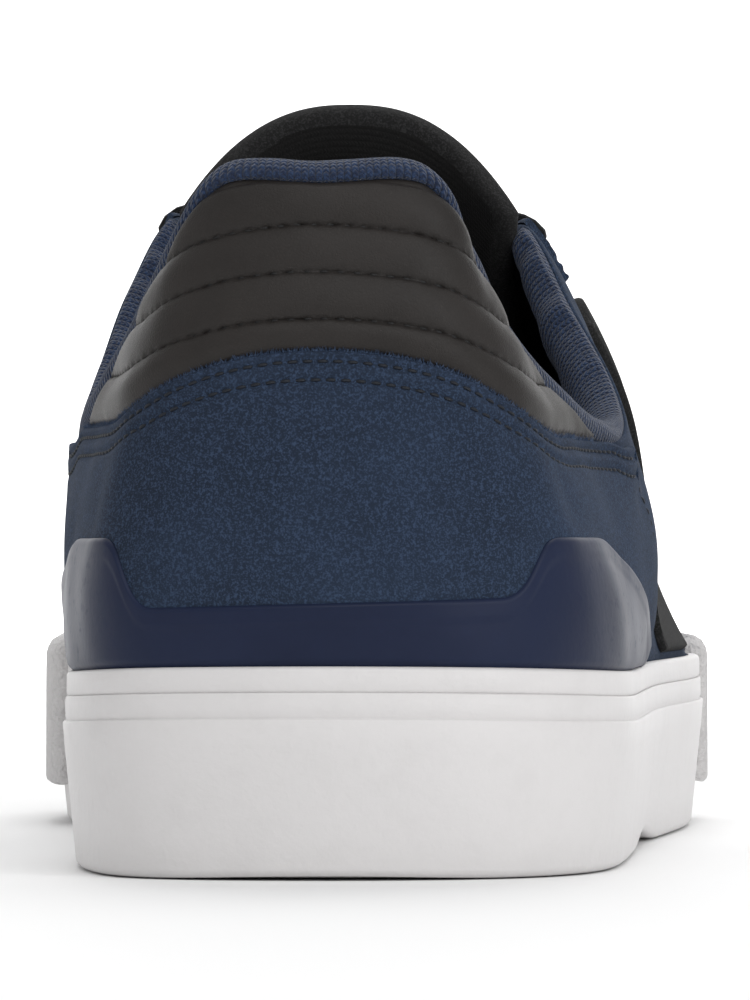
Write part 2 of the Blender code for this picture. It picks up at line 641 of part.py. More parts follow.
def make_bumper(finish):
    """Rough strip round the toe, from ball to ball, lipped over the band's top edge."""
    start, end = 11.3, 21.5
    own = ROUND_STATIONS[(ROUND_STATIONS > start + 0.2) & (ROUND_STATIONS < end - 0.2)]
    t = np.concatenate([[start], own, [end]])
    y = foot_line(t)[:, 1]
    ends = np.clip(np.minimum(t - start, end - t) / 1.6, 0.12, 1)
    rise = BUMPER_RISE * (0.3 + 0.7 * ends)
    low = sole_bottom(y) + BUMPER_FOOT
    top = sole_top(y)
    thick = GAP + BUMPER_THICKNESS * ends
    rows = (
        (GAP, low),
        (thick, low + 0.0006),
        (thick, top - RIB_SPACING),
        (thick * 0.5, top + rise * 0.6),
        (-BUMPER_LEAN * 0.6, top + rise),
        (-BUMPER_LEAN, top + rise * 0.8),
        (-BUMPER_LEAN, top + GAP),
        (GAP, top + GAP),
    )
    return tube("toe_bumper", band_section(t, rows), finish, closed=False)


# Sections of the tongue, from under the vamp to its free end. Each has its middle along the
# length and in height, its half width, the drop of its edges and how far they sweep back.
Fold = namedtuple("Fold", "along up height half drop sweep")
TONGUE = (
    Fold(0.690, 0.645, INSTEP_HEIGHT, 0.60, 0.20, 0.00),
    Fold(0.620, 0.700, INSTEP_HEIGHT, 0.80, 0.25, 0.00),
    Fold(0.554, 0.785, INSTEP_HEIGHT, 0.96, 0.32, 0.02),
    Fold(0.487, 0.865, INSTEP_HEIGHT, 1.06, 0.38, 0.05),
    Fold(0.420, 0.945, INSTEP_HEIGHT, 1.10, 0.46, 0.10),
    Fold(0.378, 0.885, TONGUE_HEIGHT, 1.03, 0.55, 0.15),
    Fold(0.358, 0.950, TONGUE_HEIGHT, 1.05, 0.60, 0.18),
    Fold(0.352, 1.000, TONGUE_HEIGHT, 1.06, 0.66, 0.20),
)


def tongue_point(q, p):
    """Outer face of the tongue: q runs up its sections and p across it, from -1 to 1."""
    rows = np.array([(f.along * SHOE_LENGTH, f.up * f.height, f.half * TONGUE_HALF_WIDTH,
                      f.drop * TONGUE_HALF_WIDTH, f.sweep * TONGUE_HALF_WIDTH) for f in TONGUE])
    q, p = np.broadcast_arrays(np.asarray(q, float), np.asarray(p, float))
    place = np.clip(q * (len(rows) - 1), 0, len(rows) - 1 - 1e-9)
    row = np.floor(place).astype(int)
    f = (place - row)[..., None]
    near = [rows[np.clip(row + step, 0, len(rows) - 1)] for step in (-1, 0, 1, 2)]
    slope = (near[2] - near[0]) / 2
    next_slope = (near[3] - near[1]) / 2
    rise = near[2] - near[1]
    value = (near[1] + slope * f + (3 * rise - 2 * slope - next_slope) * f ** 2
             + (slope + next_slope - 2 * rise) * f ** 3)
    bow = np.abs(p) ** 2.4
    return np.stack([value[..., 2] * p + TONGUE_ASIDE, value[..., 0] - value[..., 4] * bow,
                     value[..., 1] - value[..., 3] * bow], axis=-1)


def make_tongue(finish):
    """Padded tongue: a sheet of its thickness, thinner at its edges."""
    q, p = np.meshgrid(np.linspace(0, 1, 13), np.linspace(-1, 1, 9), indexing="ij")
    outer = tongue_point(q, p)
    along = tongue_point(np.clip(q + 0.01, 0, 1), p) - tongue_point(np.clip(q - 0.01, 0, 1), p)
    across = tongue_point(q, p + 0.01) - tongue_point(q, p - 0.01)
    normal = np.cross(across, along)
    normal = normal / np.linalg.norm(normal, axis=-1, keepdims=True)
    thin = (1 - 0.45 * np.abs(p) ** 4) * (1 - 0.35 * np.clip(q * 8 - 7, 0, 1))
    inner = outer + normal * (TONGUE_THICKNESS * thin)[..., None]
    return plate("tongue", outer, inner, finish)


def hole_places(side):
    """Ribs and places of the lace holes on one side, evenly spaced along the throat."""
    fine = np.linspace(THROAT_TOP + 0.4, THROAT_BASE - 0.75, 60) * side
    w = w_from_top(fine, HOLE_INSET)
    line = skin(fine, w, np.zeros(fine.shape))
    run = np.concatenate([[0], np.cumsum(np.linalg.norm(np.diff(line, axis=0), axis=1))])
    t = np.interp(np.linspace(0, run[-1], HOLE_PAIRS), run, fine)
    return t, w_from_top(t, HOLE_INSET)


def ribbon(start, end, lift, name, finish):
    """Flat strip between two holes: over each throat edge, and bowed upwards between them.

    Start and end each give the hole and the throat's edge beside it, as a point and the
    direction that the face has there.
    """
    (hole, hole_face), (edge, edge_face) = start
    (far_hole, far_hole_face), (far_edge, far_edge_face) = end
    share = np.array([0.0, 0.5, 1.0])[:, None]
    bow = 4 * share * (1 - share)
    middle = edge + (far_edge - edge) * share + np.array([0, 0, LACE_CROWN + lift]) * bow
    facing = (edge_face * (1 - share) + far_edge_face * share) * (1 - bow) + LACE_UP * bow
    line = np.concatenate([[hole], middle, [far_hole]])
    facing = np.concatenate([[hole_face], facing, [far_hole_face]])
    along = np.gradient(line, axis=0)
    wide = np.cross(along, facing)
    wide = wide / np.linalg.norm(wide, axis=1, keepdims=True)
    thick = np.cross(wide, along)
    thick = thick / np.linalg.norm(thick, axis=1, keepdims=True)
    half = wide * LACE_WIDTH / 2
    up = thick * LACE_THICKNESS / 2
    sections = np.stack([line - half - up, line + half - up, line + half + up, line - half + up], axis=1)
    return tube(name, sections, finish, closed=False)


def join(target, others):
    """Unite other solids with the target, by exact booleans that are then applied."""
    for piece in [target] + others:
        shape = bmesh.new()
        shape.from_mesh(piece.data)
        bmesh.ops.triangulate(shape, faces=shape.faces)
        shape.to_mesh(piece.data)
        shape.free()
    for other in others:
        union = target.modifiers.new("join", "BOOLEAN")
        union.operation = "UNION"
        union.solver = "EXACT"
        union.object = other
    graph = bpy.context.evaluated_depsgraph_get()
    mesh = bpy.data.meshes.new_from_object(target.evaluated_get(graph))
    target.modifiers.clear()
    target.data = mesh
    for other in others:
        bpy.data.objects.remove(other)
    return target


def make_laces(finish):
    """Flat lace: a bar over the throat's base and crossings up to the top holes."""
    off = 2 * SEAT + OVERLAY + LACE_THICKNESS / 2
    ends = []
    for side in (1, -1):
        t, w = hole_places(side)
        top = np.ones(t.shape)
        holes = zip(skin(t, w, off * top), rib_normal(t, w))
        edges = zip(skin(t, top, off * top), rib_normal(t, top))
        ends.append(list(zip(holes, edges)))
    outer, inner = ends
    strips = [ribbon(outer[-1], inner[-1], 0.0, "lace_bar", finish)]
    for k in range(HOLE_PAIRS - 1):
        strips.append(ribbon(outer[k + 1], inner[k], 0.0, "lace_a", finish))
        strips.append(ribbon(inner[k + 1], outer[k], LACE_OVER, "lace_b", finish))
    laces = join(strips[0], strips[1:])
    laces.name = "laces"
    laces.data.name = "laces"
    return laces


def centre_on_floor(pieces):
    """Move all pieces alike, so that the origin is under the middle of the whole shoe."""
    corners = np.array([piece.matrix_world @ vertex.co for piece in pieces for vertex in piece.data.vertices])
    middle = (corners.min(axis=0) + corners.max(axis=0)) / 2
    for piece in pieces:
        piece.location = (-middle[0], -middle[1], 0)


for old in list(bpy.data.objects):
    bpy.data.objects.remove(old, do_unlink=True)
SHOE = bpy.data.collections.new("skate_shoe")
bpy.context.scene.collection.children.link(SHOE)

WHITE_RUBBER = material("white_rubber", (0.68, 0.67, 0.66), 0.45)
ROUGH_RUBBER = material("rough_rubber", (0.62, 0.61, 0.60), 0.70)
NAVY_SUEDE = material("navy_suede", (0.020, 0.040, 0.085), 0.95)
BLACK_SUEDE = material("black_suede", (0.009, 0.009, 0.009), 0.95)
NAVY_KNIT = material("navy_knit", (0.018, 0.032, 0.090), 0.90)
BLACK_LEATHER = material("black_leather", (0.030, 0.027, 0.025), 0.45)
NAVY_RUBBER = material("navy_rubber", (0.022, 0.030, 0.070), 0.35)
DARK_CLOTH = material("dark_cloth", (0.020, 0.020, 0.022), 0.90)
LACE_CLOTH = material("lace_cloth", (0.012, 0.012, 0.013), 0.80)

make_outsole(WHITE_RUBBER)
make_foxing(WHITE_RUBBER)
make_bumper(ROUGH_RUBBER)
make_insole(DARK_CLOTH)
make_upper(NAVY_SUEDE)
make_lining(NAVY_KNIT)
make_tongue(BLACK_SUEDE)
make_panel(BLACK_LEATHER)
make_counter(NAVY_SUEDE)
make_guard(NAVY_RUBBER)
make_side_panel("side_panel_lateral", 1, BLACK_SUEDE)
make_side_panel("side_panel_medial", -1, BLACK_SUEDE)
make_eyestay(NAVY_SUEDE)
make_toe_cap(NAVY_SUEDE)
make_laces(LACE_CLOTH)
bpy.context.view_layer.update()
centre_on_floor(list(SHOE.objects))
bpy.context.view_layer.update()
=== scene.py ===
"""Dressed model of a low skate shoe for the right foot, standing empty on a pale floor.

Toe to +Y, outer side to +X, floor at z = 0, in metres. Every piece is a surface worked out from
one last: a foot outline, a top line, and the ribs that run between them.
"""

import math
from collections import namedtuple

import bmesh
import bpy
import numpy as np
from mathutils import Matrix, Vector


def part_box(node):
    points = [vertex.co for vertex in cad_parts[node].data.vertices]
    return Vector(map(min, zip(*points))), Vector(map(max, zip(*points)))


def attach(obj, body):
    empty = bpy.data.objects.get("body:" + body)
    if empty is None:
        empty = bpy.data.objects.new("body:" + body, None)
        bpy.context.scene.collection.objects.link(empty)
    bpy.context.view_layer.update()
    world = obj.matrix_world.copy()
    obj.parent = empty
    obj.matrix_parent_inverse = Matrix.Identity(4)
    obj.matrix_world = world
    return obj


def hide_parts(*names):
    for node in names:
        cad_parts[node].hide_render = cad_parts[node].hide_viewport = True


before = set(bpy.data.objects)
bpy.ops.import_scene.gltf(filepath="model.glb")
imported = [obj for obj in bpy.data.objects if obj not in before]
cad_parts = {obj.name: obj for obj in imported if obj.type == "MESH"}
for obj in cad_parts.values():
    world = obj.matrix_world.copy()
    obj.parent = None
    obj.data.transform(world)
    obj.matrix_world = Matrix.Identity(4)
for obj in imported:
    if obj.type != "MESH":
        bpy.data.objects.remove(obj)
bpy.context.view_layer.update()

bl_info = {
    "name": "Skate shoe",
    "version": (1, 0, 0),
    "blender": (4, 5, 0),
    "location": "3D View > Sidebar > Shoe",
    "description": "Builds a low skate shoe with its materials, stitching and stage",
    "category": "Add Mesh",
}

# Main sizes of the last
SHOE_LENGTH = 0.298
BALL_WIDTH = 0.109
HEEL_WIDTH = 0.082
HEEL_HEIGHT = 0.0975
DIP_HEIGHT = 0.062
INSTEP_HEIGHT = 0.0955
TOE_HEIGHT = 0.055

# Sole
SOLE_HEIGHT = 0.028
HEEL_KICK = 0.0015
TOE_SPRING = 0.009
SPRING_START = 0.212
ARCH_RISE = 0.002
ARCH_START = 0.082
ARCH_END = 0.140
HEEL_LIFT = 0.0004
HEEL_BEVEL = 0.006
BED_HEEL = 0.014
BED_BALL = 0.011
FOXING_WALL = 0.0024
FOXING_FOOT = 0.0068
SIDE_TAPER = 0.0019
FOOT_CORNER = 0.0013
RIB_SPACING = 0.0035
GROOVE_WIDTH = 0.003
GROOVE_DEPTH = 0.0015
GROOVE_PITCH = 0.0135
BUMPER_THICKNESS = 0.0013
BUMPER_FOOT = 0.0065
BUMPER_RISE = 0.0032
BUMPER_LEAN = 0.0018

# Upper and what is sewn to it
UPPER_WALL = 0.002
SWELL_HEIGHT = 0.022
OVERLAY = 0.0013
GUARD_THICKNESS = 0.0018
GUARD_MIDDLE = 0.0385
GUARD_WING = 0.0473
GUARD_TILT = 0.0005
PANEL_THICKNESS = 0.0014
PANEL_ARCH = 0.0732
PANEL_TIP = 0.0622
PANEL_SKEW = 0.0010
TONGUE_HEIGHT = 0.1139
TONGUE_HALF_WIDTH = 0.0254
TONGUE_ASIDE = -0.0009
TONGUE_THICKNESS = 0.0045
INSOLE_THICKNESS = 0.004
EYESTAY_WIDTH = 0.015
HOLE_INSET = 0.0065
HOLE_PAIRS = 6
LACE_WIDTH = 0.007
LACE_THICKNESS = 0.0012
LACE_CROWN = 0.0022
GAP = 0.00035

GUARD_END = 5.8
COUNTER_END = 6.45
COUNTER_RAKE = 0.95
PANEL_END = 4.42

# How pieces of hide lie and are sewn: their room to what is under them, the roundness of their cut
# edges, and how far inside an edge the rows of stitches run
SEAT = 0.0001
HIDE_EDGE = 0.0006
COUNTER_DROP = 0.0016
DOUBLE_ROW = (0.0017, 0.0043)
STAY_ROWS = (0.0016, 0.0038)
SADDLE_ROW = 0.0016
STITCH_SINK = 0.0001
SEAM_DEPTH = 0.00042
SEAM_WIDTH = 0.0007
CAP_SEAM_DEPTH = 0.00028
CAP_SEAM_WIDTH = 0.0006
SADDLE_TURN = 0.085
CAP_SEAM_RIBS = (0.07, 0.18)
FIBRE_LENGTH = 0.0011
FIBRE_WIDTH = 0.00015

# What the picture shows through: its lens in shares of its height, and its own middle in pixels
PHOTO_FOCAL = 3.890
PHOTO_MIDDLE = (579, 519)
PHOTO_HEIGHT = 1000
SENSOR = 36.0

# A row for each rib, from the back of the heel to the tip of the toe. The foot of a rib is a
# share of the length and of a width. Its top is the same, and a share of a height. Curl is 0 for
# an upright wall and 1 for a vamp that runs over to the ridge. Swell is how far it bulges.
Rib = namedtuple("Rib", "along across width top_along top_across top_up height curl swell")

LATERAL = (
    Rib(0.000, -0.049, HEEL_WIDTH, 0.045, -0.056, 1.000, HEEL_HEIGHT, 0.00, 0.0020),
    Rib(0.010, 0.185, HEEL_WIDTH, 0.052, 0.118, 0.998, HEEL_HEIGHT, 0.00, 0.0020),
    Rib(0.039, 0.358, HEEL_WIDTH, 0.070, 0.174, 0.897, HEEL_HEIGHT, 0.00, 0.0020),
    Rib(0.089, 0.458, HEEL_WIDTH, 0.107, 0.240, 0.779, HEEL_HEIGHT, 0.00, 0.0018),
    Rib(0.154, 0.500, HEEL_WIDTH, 0.158, 0.345, 1.073, DIP_HEIGHT, 0.05, 0.0018),
    Rib(0.225, 0.522, HEEL_WIDTH, 0.225, 0.448, 1.000, DIP_HEIGHT, 0.10, 0.0026),
    Rib(0.295, 0.541, HEEL_WIDTH, 0.275, 0.458, 0.708, INSTEP_HEIGHT, 0.20, 0.0036),
    Rib(0.369, 0.563, HEEL_WIDTH, 0.319, 0.378, 0.880, INSTEP_HEIGHT, 0.40, 0.0038),
    Rib(0.436, 0.444, BALL_WIDTH, 0.356, 0.233, 1.000, INSTEP_HEIGHT, 0.50, 0.0012),
    Rib(0.523, 0.481, BALL_WIDTH, 0.443, 0.184, 0.927, INSTEP_HEIGHT, 0.65, -0.0042),
    Rib(0.611, 0.514, BALL_WIDTH, 0.527, 0.142, 0.832, INSTEP_HEIGHT, 0.80, -0.0052),
    Rib(0.695, 0.523, BALL_WIDTH, 0.587, 0.087, 0.770, INSTEP_HEIGHT, 0.95, -0.0050),
    Rib(0.782, 0.493, BALL_WIDTH, 0.617, 0.009, 0.738, INSTEP_HEIGHT, 1.00, -0.0036),
    Rib(0.869, 0.408, BALL_WIDTH, 0.705, -0.009, 1.182, TOE_HEIGHT, 1.00, -0.0014),
    Rib(0.943, 0.266, BALL_WIDTH, 0.789, -0.032, 1.100, TOE_HEIGHT, 1.00, -0.0004),
    Rib(0.985, 0.101, BALL_WIDTH, 0.852, -0.050, 1.036, TOE_HEIGHT, 1.00, 0.0000),
    Rib(1.000, -0.073, BALL_WIDTH, 0.886, -0.064, 1.000, TOE_HEIGHT, 1.00, 0.0000),
)
MEDIAL = (
    Rib(0.010, -0.274, HEEL_WIDTH, 0.052, -0.215, 0.998, HEEL_HEIGHT, 0.00, 0.0020),
    Rib(0.038, -0.420, HEEL_WIDTH, 0.072, -0.283, 0.903, HEEL_HEIGHT, 0.00, 0.0020),
    Rib(0.090, -0.486, HEEL_WIDTH, 0.109, -0.346, 0.790, HEEL_HEIGHT, 0.00, 0.0018),
    Rib(0.154, -0.512, HEEL_WIDTH, 0.158, -0.421, 1.085, DIP_HEIGHT, 0.05, 0.0018),
    Rib(0.225, -0.512, HEEL_WIDTH, 0.223, -0.470, 1.008, DIP_HEIGHT, 0.10, 0.0024),
    Rib(0.295, -0.498, HEEL_WIDTH, 0.275, -0.465, 0.713, INSTEP_HEIGHT, 0.20, 0.0032),
    Rib(0.369, -0.473, HEEL_WIDTH, 0.319, -0.410, 0.885, INSTEP_HEIGHT, 0.40, 0.0030),
    Rib(0.443, -0.353, BALL_WIDTH, 0.356, -0.250, 1.010, INSTEP_HEIGHT, 0.50, 0.0020),
    Rib(0.530, -0.385, BALL_WIDTH, 0.443, -0.174, 0.932, INSTEP_HEIGHT, 0.65, 0.0010),
    Rib(0.617, -0.434, BALL_WIDTH, 0.527, -0.119, 0.838, INSTEP_HEIGHT, 0.80, -0.0010),
    Rib(0.695, -0.466, BALL_WIDTH, 0.587, -0.064, 0.772, INSTEP_HEIGHT, 0.95, -0.0016),
    Rib(0.775, -0.464, BALL_WIDTH, 0.617, 0.009, 0.738, INSTEP_HEIGHT, 1.00, -0.0016),
    Rib(0.852, -0.431, BALL_WIDTH, 0.705, -0.009, 1.182, TOE_HEIGHT, 1.00, -0.0012),
    Rib(0.923, -0.349, BALL_WIDTH, 0.789, -0.032, 1.100, TOE_HEIGHT, 1.00, -0.0004),
    Rib(0.975, -0.229, BALL_WIDTH, 0.852, -0.050, 1.036, TOE_HEIGHT, 1.00, 0.0000),
)
TOE_TIP = len(LATERAL) - 1
THROAT_BASE = 12
THROAT_TOP = 8

# Ribs round the last: outer side first, then back along the inner side
ROUND = LATERAL + MEDIAL[::-1]
FOOT_ROWS = np.array([(r.across * r.width, r.along * SHOE_LENGTH) for r in ROUND])
TOP_ROWS = np.array([(r.top_across * r.width, r.top_along * SHOE_LENGTH, r.top_up * r.height,
                      r.curl, r.swell) for r in ROUND])


def alike(*values):
    """Numbers or arrays of them, all brought to one shape."""
    return np.broadcast_arrays(*[np.asarray(value, float) for value in values])


def lifted(plan, height):
    """Points over a plan, at one height or at one of their own."""
    return np.concatenate([plan, np.broadcast_to(height, plan.shape[:-1])[..., None]], axis=-1)


def unit(vectors):
    """Vectors of length one."""
    return vectors / np.linalg.norm(vectors, axis=-1, keepdims=True)


def eased(share):
    """Share from 0 to 1 with no slope at its ends: three times its square less twice its cube."""
    share = np.clip(share, 0, 1)
    return share * share * (3 - 2 * share)


def through_four(near, f):
    """Cubic from the second of four points to the third, its end slopes half the steps across them."""
    slope, next_slope = (near[2] - near[0]) / 2, (near[3] - near[1]) / 2
    rise = near[2] - near[1]
    return (near[1] + slope * f + (3 * rise - 2 * slope - next_slope) * f ** 2
            + (slope + next_slope - 2 * rise) * f ** 3)


def spline(start, end, start_bend, end_bend, f):
    """Cubic spline between two points, from its second differences at both."""
    bend = start_bend * ((1 - f) ** 3 - (1 - f)) + end_bend * (f ** 3 - f)
    return start * (1 - f) + end * f + bend / 6


def smooth_bends(rows):
    """Second differences of the closed cubic spline through the rows, one row apart."""
    count = len(rows)
    corner = np.eye(count)
    matrix = (4 * corner + np.roll(corner, 1, axis=1) + np.roll(corner, -1, axis=1)) / 6
    return np.linalg.solve(matrix, np.roll(rows, 1, axis=0) - 2 * rows + np.roll(rows, -1, axis=0))


FOOT_BENDS = smooth_bends(FOOT_ROWS)


def split_rib(t):
    """Row before t, and how far t lies past it; a rib on the inner side is a negative t."""
    place = np.mod(np.asarray(t, float), len(ROUND))
    before = np.floor(place).astype(int)
    return before % len(ROUND), (place - before)[..., None]


def foot_line(t):
    """Foot outline at rib t: the closed cubic spline through the feet, as x and y."""
    row, f = split_rib(t)
    after = (row + 1) % len(ROUND)
    return spline(FOOT_ROWS[row], FOOT_ROWS[after], FOOT_BENDS[row], FOOT_BENDS[after], f)


def top_values(t):
    """Top of rib t with its curl and swell: a curve through four rows at a time."""
    row, f = split_rib(t)
    return through_four([TOP_ROWS[(row + step) % len(ROUND)] for step in (-1, 0, 1, 2)], f)


def side_of(t):
    """Rib numbers with those past the toe made negative, as ribs of the inner side."""
    return np.where(t > TOE_TIP, t - len(ROUND), t)


def top_line(t):
    """Top values at rib t; past the throat both sides share one ridge."""
    side = side_of(np.asarray(t, float))
    own = top_values(side)
    other = top_values(-side)
    return np.where((np.abs(side) >= THROAT_BASE)[..., None], (own + other) / 2, own)


def outline(t, out):
    """Foot outline moved outwards by a distance, square to itself."""
    step = 0.01
    along = foot_line(np.asarray(t, float) + step) - foot_line(np.asarray(t, float) - step)
    length = np.hypot(along[..., 0], along[..., 1])
    square = np.stack([along[..., 1], -along[..., 0]], axis=-1) / length[..., None]
    return foot_line(t) + square * np.asarray(out, float)[..., None], square


def toe_lift(y):
    """Toe spring at a distance from the heel."""
    share = np.clip((y - SPRING_START) / (SHOE_LENGTH - SPRING_START), 0, 1.05)
    return TOE_SPRING * share ** 1.8


def sole_bottom(y):
    """Height of the sole's underside: bevelled heel, low arch and toe spring."""
    arch = np.sin(np.pi * np.clip((y - ARCH_START) / (ARCH_END - ARCH_START), 0, 1)) ** 2
    bevel = np.clip(1 - y / HEEL_BEVEL, 0, 1) ** 2
    return ARCH_RISE * arch + HEEL_LIFT * bevel + toe_lift(y)


def sole_top(y):
    """Height of the side band's top edge."""
    kick = np.clip(1 - y / (SHOE_LENGTH / 5), 0, 1) ** 2
    return SOLE_HEIGHT + HEEL_KICK * kick + 0.65 * toe_lift(y)


def bed(y):
    """Height of the footbed, on which the upper and the insole stand."""
    share = eased((y / SHOE_LENGTH - 0.3) / 0.3)
    return BED_HEEL + (BED_BALL - BED_HEEL) * share + 0.9 * toe_lift(y)


def rib_point(t, w):
    """Outer face of the upper.

    From w = 0 at the sole's top to w = 1 at the top line, a point leans from the foot to the
    top and swells outwards on the way. From w = -1 to 0 it stands upright inside the sole.
    """
    t, w = alike(t, w)
    foot, square = outline(t, np.full(t.shape, -FOXING_WALL - GAP))
    top = top_line(t)
    curl = np.clip(top[..., 3], 0, 1)
    up = np.clip(w, 0, 1)
    rise = (1 - curl) * up + curl * np.sin(up * np.pi / 2)
    lean = (1 - curl) * up ** 1.6 + curl * (1 - np.cos(up * np.pi / 2))
    foot_z = sole_top(foot[..., 1])
    height = (top[..., 2] - foot_z) * rise
    fade = (1 - curl) + curl * np.cos(up * np.pi / 2)
    swell = top[..., 4] * fade * height / SWELL_HEIGHT * np.exp(1 - height / SWELL_HEIGHT)
    plan = foot + (top[..., :2] - foot) * lean[..., None] + square * swell[..., None]
    down = np.clip(-w, 0, 1) * (foot_z - bed(foot[..., 1]) - GAP)
    return lifted(plan, foot_z + height - down)


def rib_normal(t, w):
    """Outward direction of the upper's face, from small steps along and up the ribs."""
    t, w = alike(t, w)
    up = np.clip(w, 0.02, 0.97)
    along = rib_point(t + 0.02, up) - rib_point(t - 0.02, up)
    rise = rib_point(t, up + 0.01) - rib_point(t, up - 0.01)
    flat = np.where((w <= 0)[..., None], np.array([1.0, 1.0, 0.0]), 1.0)
    return unit(np.cross(along, rise) * flat)


def skin(t, w, out):
    """Point of the upper's face moved outwards; on the ridge both sides share a direction."""
    t, w = alike(t, w)
    side = side_of(t)
    normal = rib_normal(side, w)
    shared = unit(normal + rib_normal(-side, w))
    ridge = (np.abs(side) >= THROAT_BASE) & (w >= 0.999)
    normal = np.where(ridge[..., None], shared, normal)
    return rib_point(t, w) + normal * np.asarray(out, float)[..., None]


def rib_steps(t):
    """Heights and lengths along rib t, on a fine scale of w."""
    scale = np.linspace(0, 1, 41)
    points = rib_point(np.asarray(t, float)[..., None], scale)
    steps = np.linalg.norm(np.diff(points, axis=-2), axis=-1)
    length = np.concatenate([np.zeros(steps.shape[:-1] + (1,)), np.cumsum(steps, axis=-1)], axis=-1)
    return scale, points[..., 2], length


def w_at_height(t, z):
    """Place on each rib that has the height z."""
    scale, heights, _ = rib_steps(t)
    z = np.broadcast_to(z, heights.shape[:-1])
    return np.array([np.interp(level, row, scale) for level, row in zip(z, heights)])


def w_from_top(t, distance):
    """Place on each rib that lies a distance below its top."""
    scale, _, lengths = rib_steps(t)
    distance = np.broadcast_to(distance, lengths.shape[:-1])
    return np.array([np.interp(row[-1] - down, row, scale) for down, row in zip(distance, lengths)])


def rib_at(y, side):
    """Rib whose foot lies at distance y, on the outer side (1) or the inner side (-1)."""
    scale = np.linspace(0, TOE_TIP, 400) * side
    return np.interp(y, outline(scale, np.full(scale.shape, -FOXING_FOOT))[0][:, 1], scale)


def guard_top(t):
    """Top edge of the heel guard: low behind the heel, a wing each side, then down to the sole."""
    side = np.abs(t)
    middle = eased(np.interp(side, (0, 1.46, 2.0), (0, 0, 1)))
    front = np.clip((side - 3.3) / 2.5, 0, 1)
    wing = GUARD_WING + (sole_edge(t) + 0.004 - GUARD_WING) * front ** 1.3
    low = GUARD_MIDDLE + GUARD_TILT * t
    return low + (wing - low) * middle


def arch_line(t):
    """Edge between the quilted panel and the counter: an arch, highest behind the heel."""
    side = np.clip(t / 3.1, -1, 1)
    tip = PANEL_TIP - PANEL_SKEW * side
    return tip + (PANEL_ARCH - tip) * (1 + np.cos(np.pi * side)) / 2


def sole_edge(t):
    """Height of the sole's top beside rib t."""
    return sole_top(foot_line(t)[:, 1])


def counter_edge(t):
    """Height of the counter's free edge: the arch, but always a little under the top line."""
    return np.minimum(arch_line(t), top_line(t)[:, 2] - COUNTER_DROP)


# Sections of the tongue, from under the vamp to its free end. Each has its middle along the
# length and in height, its half width, the drop of its edges and how far they sweep back.
Fold = namedtuple("Fold", "along up height half drop sweep")
TONGUE = (
    Fold(0.690, 0.645, INSTEP_HEIGHT, 0.60, 0.20, 0.00),
    Fold(0.620, 0.700, INSTEP_HEIGHT, 0.80, 0.25, 0.00),
    Fold(0.554, 0.785, INSTEP_HEIGHT, 0.96, 0.32, 0.02),
    Fold(0.487, 0.865, INSTEP_HEIGHT, 1.06, 0.38, 0.05),
    Fold(0.420, 0.945, INSTEP_HEIGHT, 1.10, 0.46, 0.10),
    Fold(0.378, 0.885, TONGUE_HEIGHT, 1.03, 0.55, 0.15),
    Fold(0.358, 0.950, TONGUE_HEIGHT, 1.05, 0.60, 0.18),
    Fold(0.352, 1.000, TONGUE_HEIGHT, 1.06, 0.66, 0.20),
)


def tongue_point(q, p):
    """Outer face of the tongue: q runs up its sections and p across it, from -1 to 1."""
    rows = np.array([(f.along * SHOE_LENGTH, f.up * f.height, f.half * TONGUE_HALF_WIDTH,
                      f.drop * TONGUE_HALF_WIDTH, f.sweep * TONGUE_HALF_WIDTH) for f in TONGUE])
    q, p = alike(q, p)
    place = np.clip(q * (len(rows) - 1), 0, len(rows) - 1 - 1e-9)
    row = np.floor(place).astype(int)
    f = (place - row)[..., None]
    value = through_four([rows[np.clip(row + step, 0, len(rows) - 1)] for step in (-1, 0, 1, 2)], f)
    bow = np.abs(p) ** 2.4
    return np.stack([value[..., 2] * p + TONGUE_ASIDE, value[..., 0] - value[..., 4] * bow,
                     value[..., 1] - value[..., 3] * bow], axis=-1)


# Places of the frame
SHIFT = np.array(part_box("foxing")[0])[:2] - foot_line(np.arange(0, len(ROUND), 0.25)).min(axis=0)
UV_UNIT = 100.0

# Soft troughs and ridges pressed into the upper. Each runs from one place on the last to
# another, as ribs and shares up the rib. Depth is below the face, so a ridge has a negative one.
Crease = namedtuple("Crease", "start rise end top depth width")
CREASES = (
    Crease(12.35, 0.35, 12.20, 0.80, 0.0007, 0.0050),
    Crease(-12.60, 0.35, -12.30, 0.80, 0.0007, 0.0050),
    Crease(12.85, 0.40, 12.75, 0.90, 0.0005, 0.0055),
    Crease(-13.05, 0.45, -12.85, 0.90, 0.0005, 0.0055),
    Crease(11.00, 0.25, 10.60, 0.62, 0.0006, 0.0070),
    Crease(-11.10, 0.25, -10.70, 0.62, 0.0007, 0.0070),
    Crease(6.60, 0.35, 7.60, 0.78, 0.0009, 0.0065),
    Crease(-6.60, 0.35, -7.60, 0.78, 0.0009, 0.0065),
    Crease(5.20, 0.70, 6.20, 0.82, 0.0006, 0.0050),
    Crease(-5.30, 0.70, -6.30, 0.82, 0.0006, 0.0050),
    Crease(7.30, 0.30, 8.20, 0.55, -0.0005, 0.0080),
    Crease(-7.30, 0.30, -8.20, 0.55, -0.0005, 0.0080),
    Crease(0.60, 0.42, 1.50, 0.36, 0.0004, 0.0050),
    Crease(-0.50, 0.36, -1.70, 0.46, 0.0004, 0.0050),
    Crease(2.60, 0.44, 3.80, 0.38, 0.0005, 0.0055),
    Crease(-2.70, 0.40, -3.90, 0.48, 0.0005, 0.0055),
)


